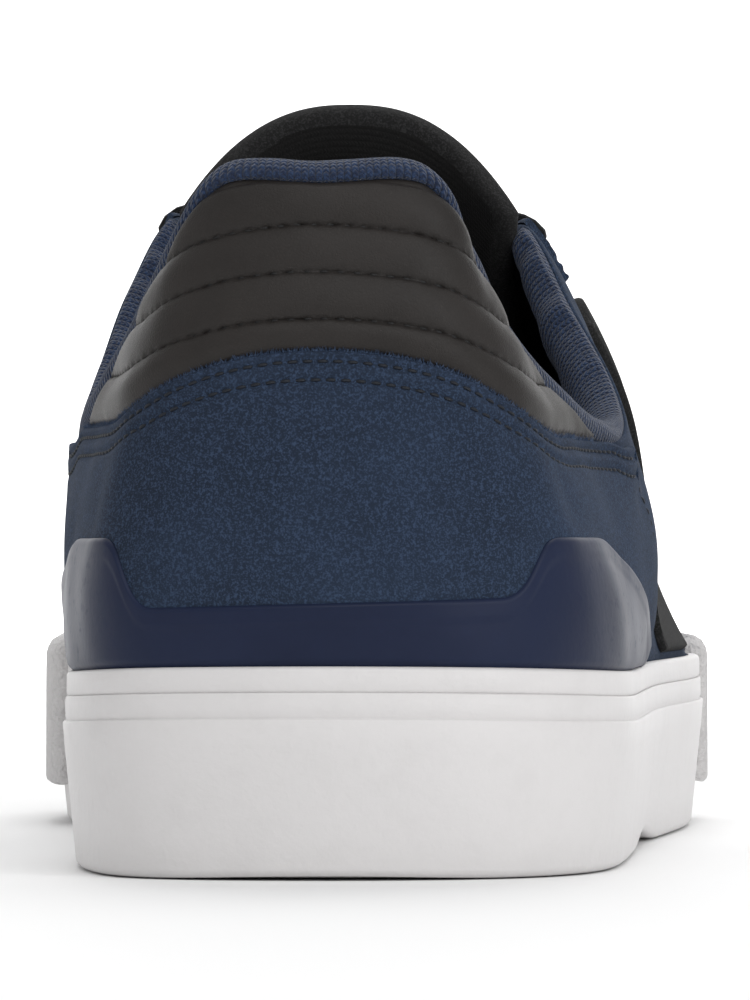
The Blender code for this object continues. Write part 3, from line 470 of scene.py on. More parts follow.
def pressed(t, w):
    """Height of the listed creases at a place on the last.

    Each crease is a Gaussian of the distance from its line, in a plane where a rib is 20 mm wide
    and 60 mm high. A long slow wave adds the unevenness of sewn hide.
    """
    side = side_of(t)
    flat = np.stack([side * 0.020, w * 0.060], axis=-1)
    height = np.zeros(np.shape(side))
    for crease in CREASES:
        start = np.array([crease.start * 0.020, crease.rise * 0.060])
        run = np.array([crease.end * 0.020, crease.top * 0.060]) - start
        share = np.clip(((flat - start) @ run) / (run @ run), 0, 1)
        away = np.linalg.norm(flat - start - share[..., None] * run, axis=-1)
        height -= crease.depth * np.exp(-(away / crease.width) ** 2)
    wave = np.sin(3.1 * side + 5.0 * w) * np.sin(1.7 * side - 7.0 * w + 0.8)
    wave = wave + 0.6 * np.sin(6.3 * side + 2.0) * np.sin(9.0 * w + 1.3 * side)
    return height + 0.00016 * wave


def relief(t, w):
    """Creases, made alike on both sides towards the ridge so that the halves meet."""
    t, w = alike(t, w)
    near = eased((w - 0.8) / 0.2) * (np.abs(side_of(t)) > 10)
    other = np.where(t > TOE_TIP, len(ROUND) - t, -t)
    own = pressed(t, w)
    fade = np.clip(w / 0.06, 0, 1)
    return fade * (own * (1 - near / 2) + pressed(other, w) * near / 2)


def cloth(t, w, out):
    """Point on the creased upper, a distance outside its face, in the frame's place."""
    t, w, out = alike(t, w, out)
    points = skin(t, w, out + relief(t, w))
    points[..., :2] += SHIFT
    return points


def placed(points):
    """The same points, moved from the last's own place to the frame's."""
    moved = np.array(points, float)
    moved[..., :2] += SHIFT
    return moved


def grid_quads(rows, columns, ring=False, start=0):
    """Corner numbers of a grid's quads; a ring joins its last row to its first."""
    i, j = np.meshgrid(np.arange(rows if ring else rows - 1), np.arange(columns - 1), indexing="ij")
    a = i * columns + j
    b = (i + 1) % rows * columns + j
    return np.stack([a, b, b + 1, a + 1], axis=-1).reshape(-1, 4) + start


def run_length(line):
    """Length along one line of points, from its start."""
    return np.concatenate([[0], np.cumsum(np.linalg.norm(np.diff(line, axis=0), axis=1))])


def line_lengths(points, axis):
    """Length along each line of a grid, from the line's start."""
    step = np.linalg.norm(np.diff(points, axis=axis), axis=-1)
    start = np.zeros_like(np.take(step, [0], axis=axis))
    return np.concatenate([start, np.cumsum(step, axis=axis)], axis=axis)


def from_border(points, sides):
    """Distance of each grid point from the nearest of the sides named, along the grid's lines."""
    along = line_lengths(points, 0)
    across = line_lengths(points, 1)
    away = {"a": along, "b": along[-1:] - along, "c": across, "d": across[:, -1:] - across}
    return np.minimum.reduce([away[side] for side in sides])


def rolled(distance, radius):
    """Share of full height near a rounded edge: a quarter circle over its radius."""
    share = np.clip(distance / radius, 0, 1)
    return np.sqrt(np.clip(1 - (1 - share) ** 2, 0, 1))


def between(low, high, count, edge):
    """Shares from 0 to 1 with extra ones close to both ends, stretched over low to high."""
    close = np.array([0, 0.06, 0.2, 0.45, 1.0]) * edge
    share = np.concatenate([close, np.linspace(edge, 1 - edge, count)[1:-1], 1 - close[::-1]])
    return low + (high - low) * share


def spread(low, high, share):
    """Grid of values, each row of it from its own low to its own high one by the shares."""
    return low[:, None] + (high - low)[:, None] * share


def grid_map(points):
    """Map of a grid from the lengths along its lines."""
    return np.stack([line_lengths(points, 0), line_lengths(points, 1)], axis=-1).reshape(-1, 2)


def piece(name, points, faces, finishes, uv=None, parts=None, sharp=50.0):
    """Object from points and faces, with its map in centimetres, riding on the shoe."""
    points = np.asarray(points, float).reshape(-1, 3)
    mesh = bpy.data.meshes.new(name)
    mesh.from_pydata(points.tolist(), [], [tuple(face) for face in np.asarray(faces).tolist()])
    if parts is not None:
        mesh.polygons.foreach_set("material_index", np.asarray(parts, np.int32))
    if uv is not None:
        corners = np.empty(len(mesh.loops), np.int32)
        mesh.loops.foreach_get("vertex_index", corners)
        layer = mesh.uv_layers.new(name="lay")
        flat = np.asarray(uv, float).reshape(-1, 2) * UV_UNIT
        layer.data.foreach_set("uv", flat[corners].ravel())
    shape = bmesh.new()
    shape.from_mesh(mesh)
    bmesh.ops.remove_doubles(shape, verts=shape.verts, dist=2e-7)
    bmesh.ops.recalc_face_normals(shape, faces=shape.faces)
    shape.to_mesh(mesh)
    shape.free()
    mesh.shade_smooth()
    mesh.set_sharp_from_angle(angle=math.radians(sharp))
    made = bpy.data.objects.new(name, mesh)
    for look in finishes:
        made.data.materials.append(look)
    bpy.context.scene.collection.objects.link(made)
    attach(made, "root")
    return made


def shell(name, outer, inner, finishes, sides="abcd", sharp=50.0, turned=0.0):
    """Closed piece between two grids; its second finish is on the inner face, past a turned edge."""
    rows, columns = outer.shape[:2]
    size = rows * columns
    faces = [grid_quads(rows, columns), grid_quads(rows, columns, start=size)[:, ::-1]]
    lined = np.full(len(faces[1]), len(finishes) - 1)
    if turned:
        lined[(from_border(inner, sides)[:-1, :-1] < turned).ravel()] = 0
    parts = [np.zeros(len(faces[0])), lined]
    first, line = np.arange(columns), np.arange(rows)
    edges = {"a": first, "b": first + (rows - 1) * columns, "c": line * columns,
             "d": line * columns + columns - 1}
    for side in sides:
        edge = edges[side]
        faces.append(np.stack([edge[:-1], edge[1:], edge[1:] + size, edge[:-1] + size], axis=-1))
        parts.append(np.zeros(len(edge) - 1))
    points = np.concatenate([outer.reshape(-1, 3), inner.reshape(-1, 3)])
    return piece(name, points, np.concatenate(faces), finishes, np.tile(grid_map(outer), (2, 1)),
                 np.concatenate(parts), sharp)


def channelled(height, base, side, distance, depth, width):
    """Height of a hide, less a Gaussian channel that runs a distance inside one side of its grid."""
    return height - depth * np.exp(-((from_border(base, side) - distance) / width) ** 2)


def patch(name, t, w, thickness, finishes, rows):
    """Piece of hide lying on the upper, over a grid of places on the last.

    Its height is the thickness times a quarter circle at each border, less a channel under each
    stitch row. A row is a side of the grid and a distance from it.
    """
    base = cloth(t, w, SEAT)
    height = thickness * rolled(from_border(base, "abcd"), HIDE_EDGE)
    for side, distance in rows:
        height = channelled(height, base, side, distance, SEAM_DEPTH, SEAM_WIDTH)
    return shell(name, cloth(t, w, SEAT + height), base, finishes)


def swept(name, sections, finishes, ring, sharp):
    """Closed tube from sections, each a closed line; an open tube's ends shrink to points."""
    rows, columns = sections.shape[:2]
    points = np.concatenate([sections, sections[:, :1]], axis=1)
    faces = grid_quads(rows, columns + 1, ring)
    around = line_lengths(points, 1)
    along = np.broadcast_to(line_lengths(points, 0).mean(axis=1, keepdims=True), around.shape)
    return piece(name, points, faces, finishes, np.stack([along, around], axis=-1), sharp=sharp)


def rounded_line(points, count):
    """Closed smooth line through rows of closed points: a cubic spline along their second axis."""
    bends = np.stack([smooth_bends(row) for row in points])
    place = np.arange(count) * points.shape[1] / count
    row = np.floor(place).astype(int)
    f = (place - row)[None, :, None]
    after = (row + 1) % points.shape[1]
    return spline(points[:, row], points[:, after], bends[:, row], bends[:, after], f)


def smooth_path(points, count):
    """Smooth line through the points: each stretch is a cubic that keeps its neighbours' slopes."""
    points = np.asarray(points, float)
    place = np.linspace(0, len(points) - 1, count)
    row = np.clip(np.floor(place).astype(int), 0, len(points) - 2)
    f = (place - row)[:, None]
    return through_four([points[np.clip(row + step, 0, len(points) - 1)] for step in (-1, 0, 1, 2)], f)


def sampled(place, run, rows):
    """Rows of three values at places along a run."""
    return np.stack([np.interp(place, run, rows[:, k]) for k in range(3)], axis=1)


def stitch_row(t, w, out, pitch, length):
    """Middles, directions and face normals of stitches along a line of places on the last."""
    line = cloth(t, w, out)
    run = run_length(line)
    place = np.arange(pitch / 2, run[-1] - length / 2, pitch)
    way = unit(sampled(place, run, np.gradient(line, run, axis=0)))
    face = rib_normal(np.interp(place, run, t), np.interp(place, run, w))
    return sampled(place, run, line), way, face


def stitches(name, rows, length, width, finish):
    """Stitches as small bowed capsules: a superellipse along the thread, round across it."""
    at, way, face = [np.concatenate([row[k] for row in rows]) for k in range(3)]
    wide = unit(np.cross(way, face))
    along = np.array([-1.0, -0.82, -0.35, 0.35, 0.82, 1.0])
    angle = np.linspace(0, 2 * math.pi, 6, endpoint=False)
    radius = np.clip(1 - along ** 4, 0, 1) ** 0.5 * width / 2
    middle = (at[:, None] + way[:, None] * (along * length / 2)[None, :, None]
              - face[:, None] * (along ** 2 * width * 0.45)[None, :, None])
    ring = (np.cos(angle)[None, None, :, None] * wide[:, None, None]
            + np.sin(angle)[None, None, :, None] * face[:, None, None] * 0.8)
    points = middle[:, :, None] + radius[None, :, None, None] * ring
    count, levels, sides = len(at), len(along), len(angle)
    k, i, j = np.meshgrid(np.arange(count), np.arange(levels - 1), np.arange(sides), indexing="ij")
    a = (k * levels + i) * sides + j
    b = (k * levels + i) * sides + (j + 1) % sides
    faces = np.stack([a, b, b + sides, a + sides], axis=-1).reshape(-1, 4)
    return piece(name, points, faces, [finish], sharp=80.0)


# Shader building blocks


def put(tree, socket, value):
    """Feed a socket from another socket, or set its value."""
    if isinstance(value, bpy.types.NodeSocket):
        tree.links.new(value, socket)
    else:
        socket.default_value = value


def compute(tree, operation, *values):
    """Math node on sockets or numbers."""
    made = tree.nodes.new("ShaderNodeMath")
    made.operation = operation
    for socket, value in zip(made.inputs, values):
        put(tree, socket, value)
    return made.outputs[0]


def times(tree, first, second):
    """Product of two sockets or numbers."""
    return compute(tree, "MULTIPLY", first, second)


def plus(tree, first, second):
    """Sum of two sockets or numbers."""
    return compute(tree, "ADD", first, second)


def half_wave(tree, place, length):
    """Sine along a socket, half a wave for each length."""
    return compute(tree, "SINE", times(tree, compute(tree, "DIVIDE", place, length), math.pi))


def noise(tree, vector, scale, detail, rough=0.5):
    """Noise from 0 to 1 at a scale in features per metre."""
    made = tree.nodes.new("ShaderNodeTexNoise")
    put(tree, made.inputs["Vector"], vector)
    put(tree, made.inputs["Scale"], scale)
    made.inputs["Detail"].default_value = detail
    made.inputs["Roughness"].default_value = rough
    return made.outputs["Fac"]


def cells(tree, vector, scale, feature="F1"):
    """Distance within the cells of a Voronoi pattern."""
    made = tree.nodes.new("ShaderNodeTexVoronoi")
    made.feature = feature
    put(tree, made.inputs["Vector"], vector)
    put(tree, made.inputs["Scale"], scale)
    return made.outputs["Distance"]


def ranged(tree, value, low, high, to_low=0.0, to_high=1.0):
    """Value carried from one range to another, held at both ends."""
    made = tree.nodes.new("ShaderNodeMapRange")
    for socket, part in zip(made.inputs, (value, low, high, to_low, to_high)):
        put(tree, socket, part)
    return made.outputs["Result"]


def mixed(tree, share, first, second):
    """Colour between two colours."""
    made = tree.nodes.new("ShaderNodeMix")
    made.data_type = "RGBA"
    put(tree, made.inputs[0], share)
    put(tree, made.inputs[6], first)
    put(tree, made.inputs[7], second)
    return made.outputs[2]


def parts_of(tree, vector):
    """Separate the three coordinates of a vector."""
    made = tree.nodes.new("ShaderNodeSeparateXYZ")
    put(tree, made.inputs[0], vector)
    return made.outputs


def effect(name, numbers, outputs):
    """Empty shader group with a vector, some numbers and its outputs; returns its tree and ends."""
    group = bpy.data.node_groups.new(name, "ShaderNodeTree")
    group.interface.new_socket(name="Vector", in_out="INPUT", socket_type="NodeSocketVector")
    for label, value in numbers:
        made = group.interface.new_socket(name=label, in_out="INPUT", socket_type="NodeSocketFloat")
        made.default_value = value
    for label in outputs:
        group.interface.new_socket(name=label, in_out="OUTPUT", socket_type="NodeSocketFloat")
    return group, group.nodes.new("NodeGroupInput").outputs, group.nodes.new("NodeGroupOutput").inputs


def nap_effect():
    """Suede nap: fine fibre speckle, brushed patches and the height of both."""
    group, given, out = effect("nap", (("Fibre Scale", 3600.0), ("Patch Scale", 42.0)),
                               ("Speckle", "Patches", "Height"))
    fine = noise(group, given["Vector"], given["Fibre Scale"], 2.0, 0.6)
    coarse = noise(group, given["Vector"], times(group, given["Fibre Scale"], 0.45), 1.0)
    patches = noise(group, given["Vector"], given["Patch Scale"], 3.0, 0.55)
    speckle = plus(group, times(group, fine, 0.7), times(group, coarse, 0.3))
    put(group, out["Speckle"], ranged(group, speckle, 0.47, 0.62))
    put(group, out["Patches"], ranged(group, patches, 0.35, 0.68))
    put(group, out["Height"], speckle)
    return group


def grain_effect():
    """Leather grain: small pebbles between creases, with pores, as a height and a mask of painted shade
    in the creases.
    """
    group, given, out = effect("grain", (("Pebble Scale", 2100.0), ("Pore Scale", 3600.0)),
                               ("Height", "Crease Shade"))
    edges = cells(group, given["Vector"], given["Pebble Scale"], "DISTANCE_TO_EDGE")
    pebble = ranged(group, edges, 0.0, 0.16)
    fine = noise(group, given["Vector"], given["Pore Scale"], 2.0)
    put(group, out["Height"], plus(group, times(group, pebble, 0.4), fine))
    # Painted shade: the mask is strongest along the creases between the pebbles.
    put(group, out["Crease Shade"], compute(group, "SUBTRACT", 1.0, pebble))
    return group


def knit_effect():
    """Knit: columns of loops, each a pair of slanted legs, from a map in centimetres."""
    group, given, out = effect("knit", (("Column", 0.11), ("Loop", 0.09)), ("Height", "Gap Shade"))
    x, y, _ = parts_of(group, given["Vector"])
    column = compute(group, "DIVIDE", x, given["Column"])
    cross = compute(group, "ABSOLUTE", half_wave(group, x, given["Column"]))
    lean = times(group, compute(group, "PINGPONG", column, 0.5), 1.1)
    turn = compute(group, "SUBTRACT", compute(group, "DIVIDE", y, given["Loop"]), lean)
    leg = compute(group, "ABSOLUTE", half_wave(group, turn, 1.0))
    height = times(group, compute(group, "POWER", cross, 0.6), plus(group, times(group, leg, 0.6), 0.4))
    put(group, out["Height"], height)
    # Painted shade: the mask is strongest where the loops sink between each other.
    put(group, out["Gap Shade"], ranged(group, height, 0.35, 0.05))
    return group


def weave_effect():
    """Plain weave: over and under threads of one width, from a map in centimetres."""
    group, given, out = effect("weave", (("Thread", 0.05), ("Pick", 0.07)), ("Height", "Gap Shade"))
    x, y, _ = parts_of(group, given["Vector"])
    warp = half_wave(group, x, given["Pick"])
    weft = half_wave(group, y, given["Thread"])
    over = times(group, warp, weft)
    round_ = times(group, compute(group, "ABSOLUTE", weft), 0.6)
    height = plus(group, times(group, over, 0.35), round_)
    put(group, out["Height"], height)
    # Painted shade: the mask is strongest where the threads dip under each other.
    put(group, out["Gap Shade"], ranged(group, height, 0.2, -0.1))
    return group


def darkening_effect():
    """Darkening mask: more near the floor, broken up by noise; and faint smears."""
    group, given, out = effect("darkening", (("Reach", 0.006), ("Amount", 0.22)), ("Mask", "Smears"))
    height = parts_of(group, given["Vector"])[2]
    low = ranged(group, height, 0.0, given["Reach"], 1.0, 0.0)
    marks = ranged(group, noise(group, given["Vector"], 160.0, 5.0, 0.65), 0.48, 0.75)
    smears = ranged(group, noise(group, given["Vector"], 45.0, 3.0), 0.35, 0.7)
    both = plus(group, times(group, low, 0.6), times(group, marks, 0.4))
    put(group, out["Mask"], times(group, both, given["Amount"]))
    put(group, out["Smears"], smears)
    return group


EFFECTS = {"nap": nap_effect, "grain": grain_effect, "knit": knit_effect, "weave": weave_effect,
           "darkening": darkening_effect}


def use(tree, name, vector, **numbers):
    """Place an effect's group in a material, made once and given its own values there."""
    group = bpy.data.node_groups.get(name) or EFFECTS[name]()
    made = tree.nodes.new("ShaderNodeGroup")
    made.node_tree = group
    put(tree, made.inputs["Vector"], vector)
    for label, value in numbers.items():
        made.inputs[label.replace("_", " ")].default_value = value
    return made.outputs


def start(name, roughness, **values):
    """New material; returns it with its tree, shader, object coordinates and the piece's own map."""
    made = bpy.data.materials.new(name)
    made.use_nodes = True
    tree = made.node_tree
    shader = tree.nodes["Principled BSDF"]
    shader.inputs["Roughness"].default_value = roughness
    for label, value in values.items():
        shader.inputs[label.replace("_", " ")].default_value = value
    place = tree.nodes.new("ShaderNodeTexCoord")
    lay = tree.nodes.new("ShaderNodeUVMap")
    lay.uv_map = "lay"
    return made, tree, shader, place.outputs["Object"], lay.outputs["UV"]


def raised(tree, shader, height, distance, strength):
    """Bump on the shader from a height, its distance in metres."""
    bump = tree.nodes.new("ShaderNodeBump")
    bump.inputs["Strength"].default_value = strength
    bump.inputs["Distance"].default_value = distance
    put(tree, bump.inputs["Height"], height)
    put(tree, shader.inputs["Normal"], bump.outputs["Normal"])


def colored(tree, shader, share, first, second):
    """Base colour of the shader, between two colours."""
    put(tree, shader.inputs["Base Color"], mixed(tree, share, first, second))


def shade(color, factor):
    """The colour, darker or lighter."""
    return tuple(min(1.0, channel * factor) for channel in color[:3]) + (1.0,)


def suede(name, color, lighter):
    """Napped hide: speckled fibres over brushed patches, matt with a soft sheen."""
    made, tree, shader, place, _ = start(name, 0.92, Sheen_Weight=0.10, Sheen_Roughness=0.55,
                                         Specular_IOR_Level=0.25)
    shader.inputs["Sheen Tint"].default_value = shade(color, 4.0)
    nap = use(tree, "nap", place)
    patched = mixed(tree, nap["Patches"], shade(color, 0.80), shade(color, 1.25))
    colored(tree, shader, times(tree, nap["Speckle"], 0.85), patched, shade(color, lighter))
    raised(tree, shader, nap["Height"], 0.0003, 0.6)
    return made


def smooth_leather(name, color):
    """Coated black leather: fine pebbles, a warm tone and soft highlights."""
    made, tree, shader, place, _ = start(name, 0.46, Specular_IOR_Level=0.22)
    grain = use(tree, "grain", place)
    tone = noise(tree, place, 60.0, 3.0)
    worn = mixed(tree, ranged(tree, tone, 0.35, 0.7), shade(color, 0.85), shade(color, 1.2))
    # Painted shade: the grain's creases are darkened towards half the colour.
    colored(tree, shader, times(tree, grain["Crease Shade"], 0.22), worn, shade(color, 0.5))
    put(tree, shader.inputs["Roughness"], ranged(tree, tone, 0.3, 0.7, 0.42, 0.54))
    raised(tree, shader, grain["Height"], 0.00010, 0.5)
    return made


def knitted(name, color, light, column, loop, deep=0.0004, sheen=0.2):
    """Knit cloth in two shades of yarn, with painted shade darkening it between its loops."""
    made, tree, shader, place, lay = start(name, 0.85, Sheen_Weight=sheen, Sheen_Roughness=0.5,
                                           Specular_IOR_Level=0.3)
    knit = use(tree, "knit", lay, Column=column, Loop=loop)
    yarn = ranged(tree, noise(tree, place, 1900.0, 2.0, 0.6), 0.42, 0.62)
    body = mixed(tree, times(tree, yarn, 0.6), color, light)
    # Painted shade between the loops, towards a third of the yarn's colour.
    colored(tree, shader, times(tree, knit["Gap Shade"], 0.8), body, shade(color, 0.3))
    fuzz = plus(tree, knit["Height"], times(tree, yarn, 0.2))
    raised(tree, shader, fuzz, deep, 0.9)
    return made


def woven(name, color, light, thread, pick):
    """Woven cloth or lace of one yarn, with painted shade between its threads."""
    made, tree, shader, place, lay = start(name, 0.82, Specular_IOR_Level=0.3, Sheen_Weight=0.1)
    weave = use(tree, "weave", lay, Thread=thread, Pick=pick)
    yarn = noise(tree, place, 2200.0, 2.0)
    body = mixed(tree, ranged(tree, yarn, 0.4, 0.65), color, light)
    # Painted shade between the threads, towards 0.4 of the yarn's colour.
    colored(tree, shader, weave["Gap Shade"], body, shade(color, 0.4))
    raised(tree, shader, weave["Height"], 0.0003, 0.8)
    return made


def white_rubber(name, color, roughness, grain, bump):
    """Sole rubber: faint smears, a grey darkening towards the floor and a grain."""
    made, tree, shader, place, _ = start(name, roughness, Specular_IOR_Level=0.45)
    darkening = use(tree, "darkening", place)
    body = mixed(tree, darkening["Smears"], shade(color, 0.975), color)
    # Darker grey towards the floor and in noisy marks.
    colored(tree, shader, darkening["Mask"], body, (0.42, 0.41, 0.40, 1.0))
    put(tree, shader.inputs["Roughness"], ranged(tree, darkening["Smears"], 0.0, 1.0, roughness - 0.06,
                                                 roughness + 0.08))
    fine = noise(tree, place, grain, 2.0, 0.6)
    lumps = cells(tree, place, grain * 0.45)
    raised(tree, shader, plus(tree, fine, lumps), bump, 0.7)
    return made


def guard_rubber(name, color):
    """Moulded heel guard: smooth, half gloss, with faint flow marks and rubbing."""
    made, tree, shader, place, _ = start(name, 0.42, Specular_IOR_Level=0.14)
    flow = noise(tree, place, 38.0, 3.0)
    rub = ranged(tree, noise(tree, place, 420.0, 4.0, 0.7), 0.55, 0.8)
    body = mixed(tree, ranged(tree, flow, 0.35, 0.7), shade(color, 0.9), shade(color, 1.12))
    colored(tree, shader, times(tree, rub, 0.08), body, shade(color, 2.2))
    put(tree, shader.inputs["Roughness"], ranged(tree, rub, 0.0, 1.0, 0.40, 0.54))
    raised(tree, shader, noise(tree, place, 900.0, 2.0), 0.00005, 0.5)
    return made


def thread_finish(name, color):
    """Sewing thread, or a loose fibre: fine light and dark strands."""
    made, tree, shader, place, _ = start(name, 0.6, Specular_IOR_Level=0.4)
    strand = noise(tree, place, 5200.0, 1.0)
    colored(tree, shader, ranged(tree, strand, 0.35, 0.65), shade(color, 0.7), shade(color, 1.3))
    raised(tree, shader, strand, 0.0001, 0.6)
    return made


def floor_finish(name, color):
    """Plain pale studio floor with the slightest variation."""
    made, tree, shader, place, _ = start(name, 0.7, Specular_IOR_Level=0.2)
    tone = ranged(tree, noise(tree, place, 3.0, 2.0), 0.3, 0.7)
    colored(tree, shader, tone, shade(color, 0.99), color)
    return made


FINISHES = {
    "white_rubber": lambda n, c: white_rubber(n, c.rubber, 0.48, 1500.0, 0.00006),
    "rough_rubber": lambda n, c: white_rubber(n, shade(c.rubber, 0.86), 0.80, 1100.0, 0.0012),
    "tread_rubber": lambda n, c: white_rubber(n, shade(c.rubber, 0.95), 0.62, 1200.0, 0.0001),
    "navy_suede": lambda n, c: suede(n, c.suede, 2.8),
    "black_suede": lambda n, c: suede(n, c.tongue, 3.2),
    "black_leather": lambda n, c: smooth_leather(n, c.leather),
    "navy_knit": lambda n, c: knitted(n, c.knit, c.knit_light, 0.10, 0.075),
    "dark_cloth": lambda n, c: knitted(n, c.inside, shade(c.inside, 1.6), 0.07, 0.06, 0.00012, 0.02),
    "navy_guard": lambda n, c: guard_rubber(n, c.guard),
    "lace_cloth": lambda n, c: woven(n, c.lace, shade(c.lace, 2.4), 0.055, 0.075),
    "navy_thread": lambda n, c: thread_finish(n, shade(c.suede, 0.34)),
    "black_thread": lambda n, c: thread_finish(n, shade(c.lace, 0.5)),
    "suede_fibre": lambda n, c: thread_finish(n, shade(c.suede, 3.4)),
    "floor": lambda n, c: floor_finish(n, c.floor),
}


def finish(context, name):
    """Material by its plain name, made the first time it is asked for."""
    look = "look_" + name
    return bpy.data.materials.get(look) or FINISHES[name](look, context.scene.shoe_colors)


# Pieces of the sole


def fine_stations(count):
    """Ribs round the whole last, evenly far apart along the foot outline."""
    t = np.linspace(0, len(ROUND), 1601)
    line = foot_line(t)
    run = run_length(line)
    return np.interp(np.linspace(0, run[-1], count, endpoint=False), run, t)


def band(t, rows):
    """Sections round the sole: rows of outward distance and height, with their corners rounded."""
    points = []
    for out, height in rows:
        points.append(lifted(outline(t, np.broadcast_to(out, t.shape))[0], height))
    return placed(np.stack(points, axis=1))


def arc_rows(out, height, radius, start, end, count):
    """Rows of a quarter bend: middle, radius and the angles from which and to which it turns."""
    angle = np.radians(np.linspace(start, end, count))
    return [(out + radius * math.cos(a), height + radius * math.sin(a)) for a in angle]


def side_band(name, finishes):
    """Side band: a rolled lip, two fine cut lines each over a small lip, and a rounded foot."""
    t = fine_stations(720)
    y = foot_line(t)[:, 1]
    low, top = sole_bottom(y), sole_top(y)
    first, second = top - RIB_SPACING, top - 2 * RIB_SPACING
    cut = 0.00022
    rows = [(-FOXING_WALL, top - 0.0015), (-FOXING_WALL, top)]
    rows += [(x, top + z) for x, z in arc_rows(-0.0014, -0.0008, 0.0008, 90, 10, 6)]
    rows += [(-0.0006, first + 0.0004), (-0.0006 - cut, first)]
    rows += [(x, first + z) for x, z in arc_rows(-0.0008, -0.0005, 0.0004, 110, 20, 5)]
    rows += [(-0.0004, second + 0.0004), (-0.0004 - cut, second)]
    rows += [(x, second + z) for x, z in arc_rows(-0.0004, -0.0006, 0.0004, 110, 15, 5)]
    under = second - 0.001
    for share in (0.15, 0.35, 0.55, 0.75, 0.92):
        rows.append((-SIDE_TAPER * share, under + (low + FOOT_CORNER - under) * share))
    foot = arc_rows(-SIDE_TAPER - FOOT_CORNER, FOOT_CORNER, FOOT_CORNER, 0, -90, 7)
    rows += [(x, low + z) for x, z in foot]
    rows += [(-FOXING_FOOT, low), (-FOXING_FOOT, low + 0.003)]
    return swept(name, band(t, rows), finishes, ring=True, sharp=60.0)


def tread_depth(x, y):
    """Depth of the tread at a place: cross grooves, and waved sipes on the blocks between them.

    A groove is a smooth step of the distance from its middle; a sipe is the same on a wave.
    """
    heel = np.arange(HEEL_BEVEL + GROOVE_PITCH, ARCH_START - GROOVE_PITCH / 2, GROOVE_PITCH)
    front = np.arange(ARCH_END + GROOVE_PITCH, SHOE_LENGTH - 2 * GROOVE_PITCH, GROOVE_PITCH)
    lines = np.concatenate([heel, front])
    away = np.abs(y[..., None] - lines).min(axis=-1)
    groove = np.clip((GROOVE_WIDTH / 2 + 0.0004 - away) / 0.0006, 0, 1)
    wave = y + 0.0011 * np.sin(2 * math.pi * x / 0.008)
    sipe = np.clip((0.0007 - np.abs(np.mod(wave, 0.0034) - 0.0017)) / 0.0005, 0, 1)
    from_arch = np.abs(y - (ARCH_START + ARCH_END) / 2) - (ARCH_END - ARCH_START) / 2
    return np.maximum(groove * GROOVE_DEPTH, sipe * 0.0007 * np.clip(from_arch / 0.002, 0, 1))


def across_sole(y, share, out):
    """Plan of a grid inside the foot outline: its lines run from the inner side to the outer."""
    inner, outer = [outline(rib_at(y, side), np.full(y.shape, out))[0][:, None] for side in (-1, 1)]
    share = share[:, None]
    return inner * (1 - share) / 2 + outer * (1 + share) / 2


def tread_plate(name, finishes):
    """Underside inside the band: a fine grid pressed with the tread, closed by a flat top."""
    start = FOXING_FOOT - 0.0003
    y = start + (SHOE_LENGTH - 2 * start) * between(0, 1, 200, 0.005)
    share = between(-1, 1, 76, 0.01)
    plan = across_sole(y, share, -start)
    low = sole_bottom(plan[..., 1]) + SEAT
    inside = np.clip((1 - np.abs(share)) / 0.05, 0, 1)
    under = low + tread_depth(plan[..., 0], plan[..., 1]) * inside
    top = lifted(plan, low + 0.004)
    return shell(name, placed(lifted(plan, under)), placed(top), finishes, sharp=40.0)


def toe_bumper(name, finishes):
    """Rough strip round the toe: a low pad with a rounded rim and ends that fade into the band."""
    start, end = 11.0, 21.7
    t = np.concatenate([between(start, 16, 260, 0.03)[:-4], between(16, end, 260, 0.03)[4:]])
    y = foot_line(t)[:, 1]
    ends = rolled(np.minimum(t - start, end - t) * 0.020, 0.004)
    low = sole_bottom(y) + BUMPER_FOOT
    top = sole_top(y)
    thick = 0.0002 + (GAP + BUMPER_THICKNESS - 0.0002) * ends
    rise = BUMPER_RISE * (0.3 + 0.7 * ends)
    rows = [(-0.0010, low + 0.0002), (thick * 0.55, low), (thick * 0.9, low + 0.0004),
            (thick, low + 0.0010)]
    for share in np.linspace(0.1, 0.9, 12):
        rows.append((thick, low + 0.0010 + (top - low - 0.0020) * share))
    rows += [(thick * 0.97, top), (thick * 0.8, top + rise * 0.35), (thick * 0.4, top + rise * 0.7),
             (-BUMPER_LEAN * 0.3, top + rise * 0.93), (-BUMPER_LEAN * 0.9, top + rise),
             (-BUMPER_LEAN * 1.4, top + rise * 0.85), (-BUMPER_LEAN * 1.5, top)]
    rows.append((-BUMPER_LEAN * 1.5, low + 0.003))
    return swept(name, closed_ends(band(t, rows)), finishes, ring=False, sharp=60.0)


def closed_ends(sections):
    """Sections with a first and a last one shrunk to their middle, so that the ends are shut."""
    first = np.broadcast_to(sections[:1].mean(axis=1, keepdims=True), sections[:1].shape)
    last = np.broadcast_to(sections[-1:].mean(axis=1, keepdims=True), sections[-1:].shape)
    return np.concatenate([first, sections, last])


def footbed(name, finishes):
    """Insole: a padded sheet, raised a little along its rim and dished under the heel."""
    edge = -FOXING_WALL - UPPER_WALL - 2 * GAP
    start = -edge + GAP
    y = start + (SHOE_LENGTH - 2 * start) * between(0, 1, 110, 0.006)
    share = between(-1, 1, 40, 0.012)
    plan = across_sole(y, share, edge)
    low = bed(plan[..., 1]) + SEAT
    heel = np.exp(-((plan[..., 1] - 0.04) / 0.03) ** 2)
    dish = 0.0015 * share ** 4 - 0.0012 * heel * (1 - share ** 2)
    rim = rolled(from_border(lifted(plan, low + INSOLE_THICKNESS), "abcd"), 0.0015)
    top = lifted(plan, low + (INSOLE_THICKNESS + dish) * rim)
    return shell(name, placed(top), placed(lifted(plan, low)), finishes)


# Pieces of the upper


